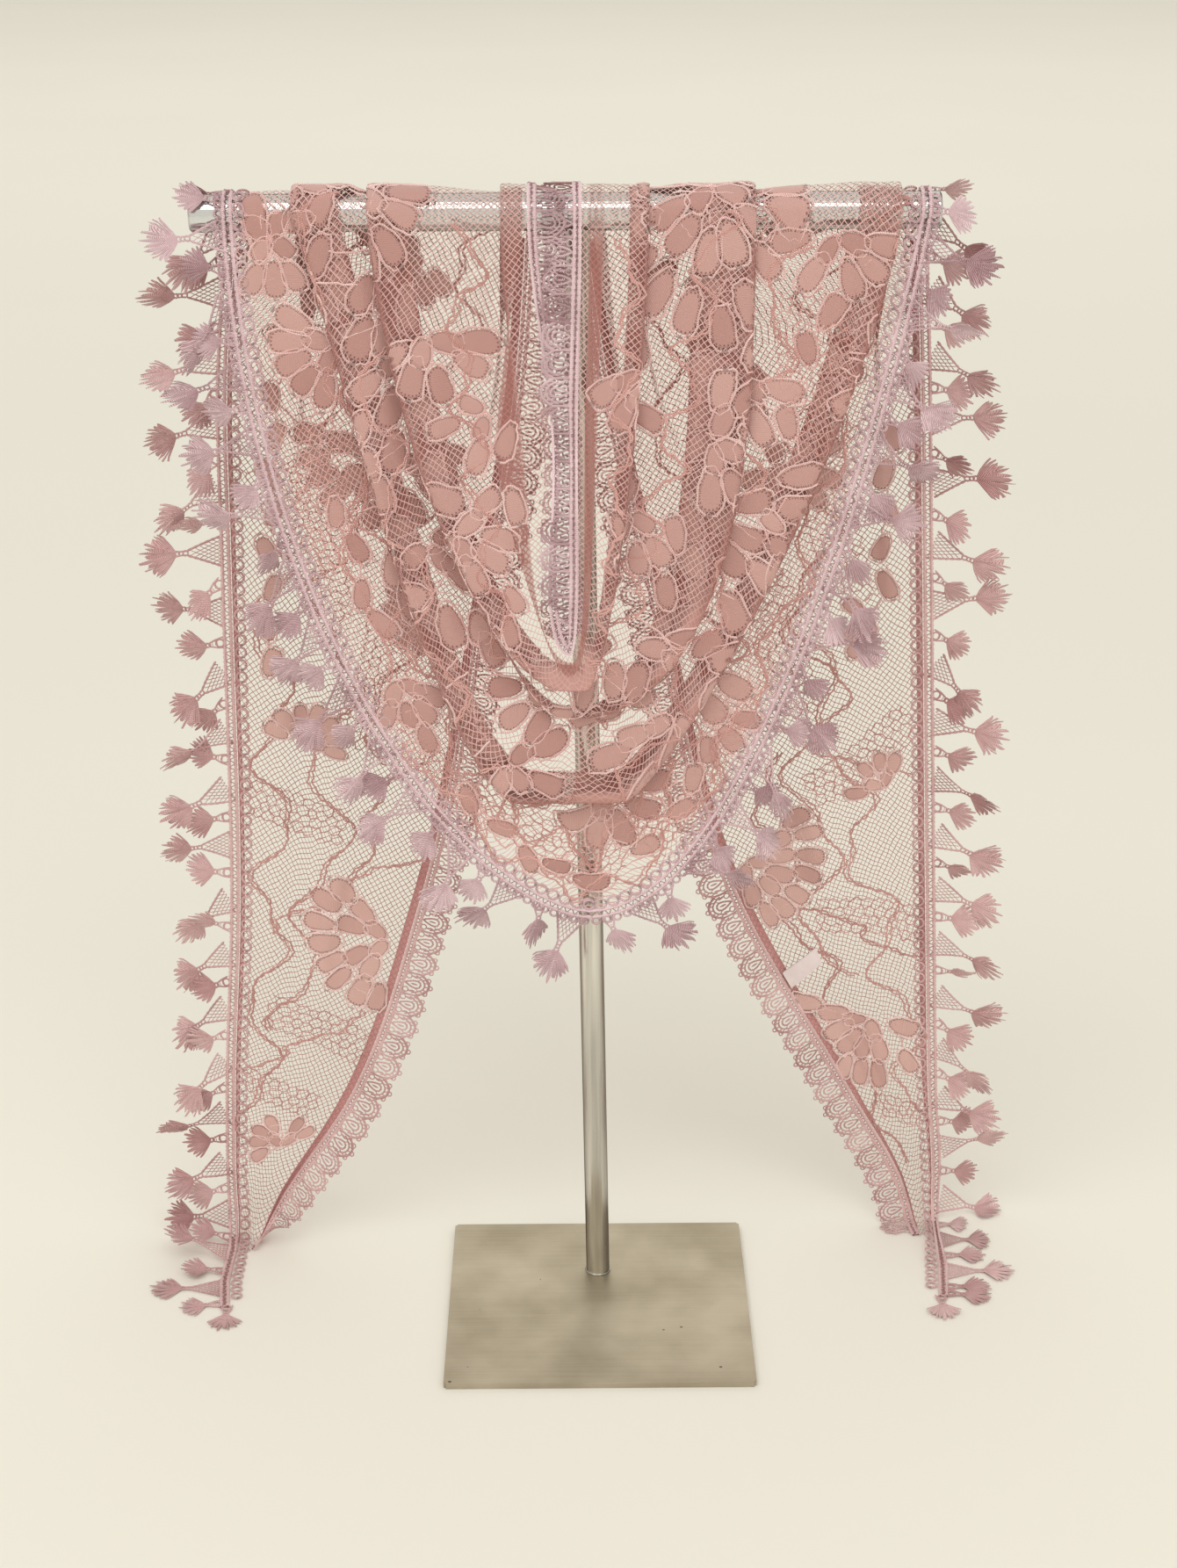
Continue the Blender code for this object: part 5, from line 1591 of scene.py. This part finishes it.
NET_CELL = 3.5  # millimetres from mesh to mesh of the net, along the cloth
NET_SLANT = 1.12  # how much steeper than that its threads run
NET_THREAD = 0.37


def net_material():
    """Open diamond net of fine threads, closer in the folds, with painted shade there, darker and
    redder.
    """
    n = Nodes("rose_net")
    place = n.attribute("place", 1)
    crowded_and_shaded = n.attribute("crowded_and_shaded", 2)
    satin = n.attribute("satin", 2)
    tail = n.attribute("tail", 2)
    wander = n.noise(0.16, 1.0, place, out=1)
    moved = n.vector("SUBTRACT", wander, (0.5, 0.5, 0.5))
    moved = n.node("ShaderNodeVectorMath", {0: moved, "Scale": 1.6}, operation="SCALE")
    place = n.vector("ADD", place, moved)
    along, across, _ = n.split(place)
    lines = []
    for sign in (1.0, -1.0):
        slant = n.maths("MULTIPLY_ADD", across, sign * NET_SLANT, along)
        lines.append(n.maths("PINGPONG", slant, NET_CELL / 2))
    least = n.maths("MINIMUM", lines[0], lines[1])
    # Deep in a hidden fold the threads thicken and the gaps fill in, as stacked layers do, and a
    # darker, redder painted shade is laid on.
    half = n.maths("MULTIPLY_ADD", crowded_and_shaded, 0.12, NET_THREAD / 2 * math.hypot(1.0, NET_SLANT))
    thread = n.maths("LESS_THAN", least, half)
    solid = n.ramp(satin, 0.30, 0.95, 0.78)
    packed_and_shaded = n.ramp(crowded_and_shaded, 0.35, 0.85, 0.62)
    alpha = n.maths("MAXIMUM", thread, n.maths("MAXIMUM", solid, packed_and_shaded))
    tone = n.noise(0.035, 2.0, place)
    colour = n.blend(tone, srgb(206, 158, 154), srgb(236, 199, 195))
    # The tails' threads are painted darker: painted shade where the tails hang behind the front.
    colour = n.blend(n.times(tail, 0.75), colour, srgb(168, 120, 117))
    # Painted shade in the hidden folds.
    colour = n.blend(n.times(crowded_and_shaded, 0.9), colour, srgb(166, 104, 98))
    inputs = {"Vector": place, "Scale": 0.52, "Distortion": 0.6, "Detail": 1.0}
    hatch = n.node("ShaderNodeTexWave", inputs, wave_type="BANDS", bands_direction="Y")
    satin_colour = n.blend(hatch, srgb(204, 150, 144), srgb(222, 174, 168))
    # Painted shade on the satin bands where they lie in the folds.
    satin_colour = n.blend(n.times(crowded_and_shaded, 0.25), satin_colour, srgb(170, 98, 90))
    colour = n.blend(solid, colour, satin_colour)
    n.bump(hatch, 0.00012, 0.6)
    return n.finish(Base_Color=colour, Alpha=alpha, Roughness=0.62, Sheen_Weight=0.25)


HATCH = 0.85  # millimetres between a petal's stitches
EYELETS = 0.87  # where their row lies, as a share of the petal's size


def satin_material():
    """Satin-stitched petals: fine parallel hatch, a row of tiny eyelets by the rim painted as dark
    spots of shade, and painted shade round the rim.
    """
    n = Nodes("rose_satin")
    place = n.attribute("place", 1)
    tone = n.attribute("tone", 2)
    x, y, radial = n.split(place)
    wander = n.noise(0.5, 2.0, place)
    slant = n.maths("MULTIPLY_ADD", y, 0.55, x)
    slant = n.maths("ADD", slant, n.times(wander, 0.5))
    hatch = n.times(n.maths("PINGPONG", slant, HATCH / 2), 2 / HATCH)
    angle = n.maths("ARCTAN2", y, x)
    dots = n.maths("PINGPONG", n.times(angle, 4.6), 0.5)
    from_rim = n.maths("SUBTRACT", radial, EYELETS)
    rim = n.maths("ABSOLUTE", from_rim)
    eyelet = n.maths("ADD", n.times(rim, 4.5), dots)
    eyelet_shade_and_dip = n.maths("LESS_THAN", eyelet, 0.26)
    colour = n.blend(tone, srgb(196, 149, 143), srgb(242, 203, 196))
    colour = n.blend(n.times(hatch, 0.5), n.blend(0.45, colour, srgb(168, 116, 112)), colour)
    # The rim is painted darker: painted shade where the petal meets its cord.
    edge = n.node("ShaderNodeClamp", {"Value": n.times(from_rim, 9.0), "Max": 0.35})
    colour = n.blend(edge, colour, srgb(172, 118, 114))
    # The eyelets are painted dark: painted shade that stands for their holes.
    colour = n.blend(n.times(eyelet_shade_and_dip, 0.8), colour, srgb(120, 66, 64))
    height = n.maths("SUBTRACT", hatch, n.times(eyelet_shade_and_dip, 2.0))
    n.bump(height, 0.00016, 0.8)
    return n.finish(Base_Color=colour, Roughness=0.5, Sheen_Weight=0.3)


def cord_material(name, dark, pale, roughness, twist, sheen=0.2):
    """Twisted yarn: slanting plies along a cord, with a soft shine, and painted shade and highlights
    on them.
    """
    n = Nodes(name)
    place = n.attribute("place", 1)
    tone = n.attribute("tone", 2)
    along, round_it, _ = n.split(place)
    slant = n.maths("MULTIPLY_ADD", round_it, 1.0, along)
    ply = n.times(n.maths("PINGPONG", slant, twist), 1 / twist)
    cloud = n.noise(60.0, 3.0, n.node("ShaderNodeTexCoord", out=3))
    # Dark to pale over each ply and in a fine speckle: partly the yarn's own uneven tone, partly
    # painted shade between the plies and painted highlights of the glossy thread.
    share = n.maths("MULTIPLY_ADD", ply, 0.45, n.times(cloud, 0.55))
    share = n.maths("ADD", share, n.maths("MULTIPLY_ADD", tone, 0.24, -0.12))
    colour = n.blend(n.ramp(share, 0.22, 0.78), dark, pale)
    n.bump(ply, 0.00018, 0.9)
    rough = n.maths("MULTIPLY_ADD", cloud, 0.25, roughness - 0.12)
    return n.finish(Base_Color=colour, Roughness=rough, Sheen_Weight=sheen)


def steel_material(name, along, shine, pale):
    """Brushed stainless steel with grain along one axis, dull patches and a few pits; on the tubes,
    dark and bright streaks along them, partly grain and partly painted reflection.
    """
    n = Nodes(name)
    where = n.node("ShaderNodeTexCoord", out=3)
    stretch = [900.0, 900.0, 900.0]
    stretch[along] = 14.0
    grain = n.noise(1.0, 3.0, n.vector("MULTIPLY", where, tuple(stretch)))
    # On the pole and the crossbar the noise runs in long streaks along the tube, darker and brighter
    # than on the plate: partly brushed grain, partly painted reflection.
    streaks = [150.0, 150.0, 150.0] if pale else [22.0, 22.0, 22.0]
    streaks[along] = 5.0 if pale else 22.0
    cloud = n.noise(1.0, 5.0, n.vector("MULTIPLY", where, tuple(streaks)))
    pits = n.node("ShaderNodeTexVoronoi", {"Vector": where, "Scale": 85.0})
    chosen = n.maths("GREATER_THAN", n.noise(38.0, 1.0, where), 0.60)
    pit = n.times(n.maths("LESS_THAN", pits, 0.075), chosen)
    dark = srgb(120, 112, 99) if pale else srgb(162, 151, 131)
    bright = srgb(238, 232, 220) if pale else srgb(196, 186, 167)
    colour = n.blend(n.ramp(cloud, 0.36, 0.66), dark, bright)
    colour = n.blend(n.times(grain, 0.35), colour, srgb(226, 219, 204))
    colour = n.blend(pale, colour, srgb(224, 226, 228))
    colour = n.blend(n.times(pit, 0.75), colour, srgb(92, 84, 72))
    rough = n.maths("MULTIPLY_ADD", grain, 0.10, shine)
    rough = n.maths("ADD", rough, n.times(cloud, 0.06))
    n.bump(n.maths("SUBTRACT", grain, n.times(pit, 3.0)), 0.00005, 0.5)
    tint = (0.20, 0.18, 0.16, 1.0)
    return n.finish(Base_Color=colour, Metallic=0.94, Roughness=rough, Specular_Tint=tint)


def label_material():
    """Woven satin ribbon, bare."""
    n = Nodes("label_satin")
    where = n.node("ShaderNodeTexCoord", out=3)
    inputs = {"Vector": where, "Scale": 900.0}
    weave = n.node("ShaderNodeTexWave", inputs, wave_type="BANDS", bands_direction="Z")
    cloud = n.noise(160.0, 2.0, where)
    colour = n.blend(cloud, srgb(226, 206, 212), srgb(244, 232, 232))
    n.bump(weave, 0.00005, 0.5)
    return n.finish(Base_Color=colour, Roughness=0.42, Sheen_Weight=0.2)


# ---------------------------------------------------------------- camera, floor and light
CAMERA_AT = (-0.010, -1.197, 0.742)
CAMERA_YAW, CAMERA_PITCH, CAMERA_ROLL = (math.radians(a) for a in (0.29, 20.88, -0.26))
PHOTO_WIDTH = 1340
FOCAL_PIXELS = 3071


def camera():
    yaw, pitch, roll = CAMERA_YAW, CAMERA_PITCH, CAMERA_ROLL
    x, y = math.sin(yaw) * math.cos(pitch), math.cos(yaw) * math.cos(pitch)
    ahead = Vector((x, y, -math.sin(pitch)))
    level = Vector((math.cos(yaw), -math.sin(yaw), 0.0))
    above = level.cross(ahead)
    right = math.cos(roll) * level + math.sin(roll) * above
    above = -math.sin(roll) * level + math.cos(roll) * above
    data = bpy.data.cameras.new("camera")
    data.sensor_fit = "HORIZONTAL"
    data.sensor_width = 36.0
    data.lens = FOCAL_PIXELS * data.sensor_width / PHOTO_WIDTH
    data.clip_start = 0.01
    made = bpy.data.objects.new("camera", data)
    rows = [(right[k], above[k], -ahead[k], CAMERA_AT[k]) for k in range(3)]
    made.matrix_world = Matrix(rows + [(0, 0, 0, 1)])
    bpy.context.scene.collection.objects.link(made)
    bpy.context.scene.camera = made


FLOOR_HALF = 14.0


def backdrop():
    """A pale paper floor that runs on behind the object, as far as the camera sees."""
    corners = np.array([(-1, -1, 0), (1, -1, 0), (1, 1, 0), (-1, 1, 0)]) * FLOOR_HALF
    mesh = new_mesh("studio_floor", corners, [(0, 1, 2, 3)])
    n = Nodes("studio_paper")
    cloud = n.noise(1.5, 2.0, n.node("ShaderNodeTexCoord", out=3))
    colour = n.blend(cloud, srgb(238, 236, 229), srgb(242, 240, 233))
    mesh.materials.append(n.finish(Base_Color=colour, Roughness=0.9))
    made = bpy.data.objects.new("studio_floor", mesh)
    bpy.context.scene.collection.objects.link(made)


def light(name, place, aim, size, watts, colour):
    data = bpy.data.lights.new(name, "AREA")
    data.shape = "RECTANGLE"
    data.size, data.size_y = size
    data.energy = watts
    data.color = colour
    made = bpy.data.objects.new(name, data)
    made.location = place
    made.rotation_euler = (Vector(aim) - Vector(place)).to_track_quat("-Z", "Y").to_euler()
    bpy.context.scene.collection.objects.link(made)


# The room's light: its place from the middle (0) to the left or the right (1), and colour.
ROOM_AHEAD = (0.45, (1.0, 0.965, 0.86, 1))
ROOM_ASIDE = (0.97, (0.60, 0.58, 0.52, 1))
ROOM_STRENGTH = 0.82
WARM = (1.0, 0.98, 0.94)


def studio():
    backdrop()
    n = Nodes("studio", "worlds", "Background")
    side = n.maths("ABSOLUTE", n.split(n.node("ShaderNodeTexCoord"))[0])
    ramp = n.tree.nodes.new("ShaderNodeValToRGB")
    first, last = ramp.color_ramp.elements
    first.position, first.color = ROOM_AHEAD
    last.position, last.color = ROOM_ASIDE
    n.feed(side, ramp.inputs[0])
    bpy.context.scene.world = n.finish(Color=ramp.outputs[0], Strength=ROOM_STRENGTH)
    light("key", (-0.5, -1.3, 2.3), (0, 0.1, 0.3), (3.0, 0.8), 20.0, WARM)
    light("fill", (1.3, -1.6, 0.9), (0, 0, 0.3), (0.9, 1.2), 3.0, WARM)
    light("back", (0.0, 4.6, 3.0), (0, 4.6, 0.0), (6.0, 4.0), 30.0, (1.0, 0.97, 0.92))


# ---------------------------------------------------------------- pieces
# Each part of the stand: the axis of its grain, its roughness, and how pale its polish is.
STEELS = (
    ("stand_base", 0, 0.33, 0.0),
    ("stand_pole", 2, 0.12, 0.25),
    ("stand_crossbar", 0, 0.06, 0.90),
)
WELD_STEPS = 40
WELD_R = 0.55 * MM


def steel_stand():
    """Steel on the stand's own solids, and the weld at the pole's foot."""
    for node, along, shine, pale in STEELS:
        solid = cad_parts[node]
        solid.data.materials.clear()
        solid.data.materials.append(steel_material(f"{node}_steel", along, shine, pale))
    weld = Build()
    k = np.arange(WELD_STEPS)
    t = k / WELD_STEPS * 2 * math.pi
    radius = POLE_R + WELD_R * 0.6
    height = 0 * t + PLATE_THICK + WELD_R * 0.55
    line = np.stack([np.cos(t) * radius, POLE_Y + np.sin(t) * radius, height], -1)
    wobble = 1 + 0.18 * np.sin(k * 2.3)
    normals = np.tile(UP, (WELD_STEPS, 1))
    add_cord(weld, line, normals, 1.5 * WELD_R * wobble, 1.1 * WELD_R * wobble, closed=True, sides=6)
    weld.finish("pole_weld", steel_material("weld_steel", 2, 0.3, 0.2), "steel")


def lace_cloth(rows, place, first, count, material):
    """The shawl itself: one sheet of net, over the bar from tip to tip."""
    along, across = flat_places(rows)
    shares = part_shares(rows[len(rows) // 2], first, count)
    mesh = new_mesh("shawl_lace", rows, grid_quads(*rows.shape[:2]).tolist())
    crowded_and_shaded, satin = folds_marked(rows, place, across, shares)
    # 1 on the tails, whose net threads get a painted shade, as they hang behind the front.
    hangs = sum(smooth(shares[part] / 0.03) for part in "LR")
    put(mesh, "place", "FLOAT_VECTOR", np.stack([along, across, 0 * across], -1))
    put(mesh, "crowded_and_shaded", "FLOAT", crowded_and_shaded)
    put(mesh, "satin", "FLOAT", satin)
    put(mesh, "tail", "FLOAT", np.repeat(hangs[None], len(rows), 0))
    return piece("shawl_lace", mesh, material, 80)


# Where the folded edge lies as a smooth satin band: the fold's row, the band's width in
# millimetres, and the shares along the front between which it shows.
Band = namedtuple("Band", "row wide start end")
BANDS = [
    Band(9.5, 7.5, 0.43, 0.57),
    Band(16.5, 6.0, 0.54, 0.68),
    Band(23.5, 5.0, 0.46, 0.66),
]
FOLD_SOFT = 0.6  # rows over which a fold's painted shade and closer net come on
BAND_FADE = 0.05
DEEP_ENDS = (0.10, 0.22)  # where down the tails the folds' painted shade and closer net fade, and over how much
BAR_FADE = 0.020


def folds_marked(rows, place, across, shares):
    """How deep in a hidden fold each point is, where the net closes up and shade is painted, and where
    the net is a solid satin band.
    """
    hidden = 0.0 * place
    for start, end in zip(LAST_ROWS[1:-1:2], LAST_ROWS[2::2]):
        opens = smooth((place - start + FOLD_SOFT) / FOLD_SOFT)
        hidden += opens * smooth((end + FOLD_SOFT - place) / FOLD_SOFT)
    shut = np.ones(rows.shape[1])
    start, over = DEEP_ENDS
    for part in "LR":
        shut *= 1.0 - smooth((shares[part] - start) / over)
    on_bar = smooth((rows[len(rows) // 2, :, 2] - BAR_Z + BAR_FADE) / BAR_FADE)
    # Painted shade and closer net in the hidden folds, less where they lie on top of the bar.
    crowded_and_shaded = hidden[:, None] * (shut * (1.0 - 0.6 * on_bar))[None]
    satin = np.zeros(rows.shape[:2])
    for band in BANDS:
        index = np.searchsorted(place, band.row)
        distance = across[index : index + 1] - across
        shown = smooth((shares["F"] - band.start) / BAND_FADE)
        shown = shown * smooth((band.end - shares["F"]) / BAND_FADE)
        core = np.clip(1.5 - np.abs(distance - band.wide * 0.5) / band.wide, 0, 1)
        satin = np.maximum(satin, core * shown[None])
    return crowded_and_shaded, satin


TAG_STEPS = (9, 5)  # out from the hem, and along it
TAG_SEAM = 0.001
TAG_LIFTS = (0.0011, 0.0018)  # of its two layers, on the cloth's back
TAG_BOW = 0.0006


def care_tag(surface, material):
    """A folded tag, sewn in at the inner hem of the right tail; bare."""
    build = Build()
    column = surface.column("R", LABEL_SHARE)
    steps, wide = TAG_STEPS
    along = np.linspace(-0.5, 0.5, wide) * LABEL_SIZE[1]
    layers = []
    for lift in TAG_LIFTS:
        for out in np.linspace(0.0, LABEL_SIZE[0], steps):
            c, s = surface.around(column, 0.0, along - LABEL_RISE * out, np.full(wide, out + TAG_SEAM))
            bow = TAG_BOW * math.sin(out / LABEL_SIZE[0] * 3.1)
            layers.append(surface.at(c, s, -(lift + bow))[0])
    build.add(np.array(layers[:steps] + layers[:steps - 1:-1]), grid_quads(2 * steps, wide))
    made = build.finish("care_tag", material, "label", 60)
    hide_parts("care_label")
    return made


HEM_SPAN = (0.05, 0.985)  # the shares of a tail's length that a folded hem shows between
# The hems: part, share across, width in millimetres and tone.
HEMS = (("L", 0.0, 4.0, 0.3), ("R", 0.0, 4.0, 0.5), ("L", 1.0, 2.2, 0.4), ("R", 1.0, 3.2, 0.6))
# Each part's fringe: its end on the floor, the way that it leans, and its name.
FRINGES = (
    ("F", (), -1.0, "front"),
    ("L", LEFT_FRINGE_END, -1.0, "tail_left"),
    ("R", RIGHT_FRINGE_END, 1.0, "tail_right"),
)
EDGINGS = (
    ("F", SLOT_TURNS, "cowl"),
    ("L", LEFT_TAIL_TURNS, "tail_left"),
    ("R", RIGHT_TAIL_TURNS, "tail_right"),
)


def main():
    camera()
    studio()
    bpy.context.scene.view_settings.view_transform = "Standard"
    steel_stand()
    rng = np.random.default_rng(7)
    rows, first, count = cloth_rows()
    rows, place = refine(rows)
    rows = crease(rows, place, first, count)
    surface = Surface(rows, first, count)
    cloth = lace_cloth(rows, place, first, count, net_material())
    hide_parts("shawl_front", "shawl_tail_left", "shawl_tail_right")

    # The pale end of each yarn's colours is partly painted highlight, and the dark end partly painted
    # shade.
    rose = cord_material("rose_cord", srgb(222, 173, 170), srgb(255, 229, 226), 0.55, 0.5)
    vine = cord_material("rose_vine", srgb(184, 126, 121), srgb(236, 190, 184), 0.55, 0.5)
    hem = cord_material("hem_satin", srgb(214, 142, 144), srgb(242, 190, 188), 0.45, 0.4)
    lilac = cord_material("lilac_guipure", srgb(150, 102, 111), srgb(247, 219, 227), 0.28, 0.45, 0.3)
    dusky = cord_material("rose_guipure", srgb(168, 112, 114), srgb(238, 203, 205), 0.38, 0.45, 0.3)
    satin, cord = flowers(surface, rng)
    petals = satin.finish("lace_petals", satin_material(), "lace", 60)
    rims = cord.finish("lace_petal_cords", rose, "lace", 60)
    wandering = vines(surface, rng).finish("lace_vines", vine, "lace", 60)
    hems = Build()
    for part, q_edge, wide, tone in HEMS:
        hem_band(hems, surface, part, q_edge, wide * MM, tone)
    bands = hems.finish("hem_bands", hem, "lace", 60)

    front = rows[:, first : first + count + 1]
    grids = {"L": rows[:, first::-1], "F": front, "R": rows[:, first + count :]}
    yarns = {"L": dusky, "F": lilac, "R": dusky}
    for part, floor_run, forward, name in FRINGES:
        line = edge(grids[part][-1], grids[part][-3], floor_run)
        fringe(f"fringe_{name}_guipure", line, yarns[part], forward, rng, f"fringe_{name}")
    for part, turns, name in EDGINGS:
        line = edge(grids[part][0], grids[part][2])
        scallops(f"scallops_{name}", line, yarns[part], turns, f"scallop_{name}")
    tag = care_tag(surface, label_material())


main()
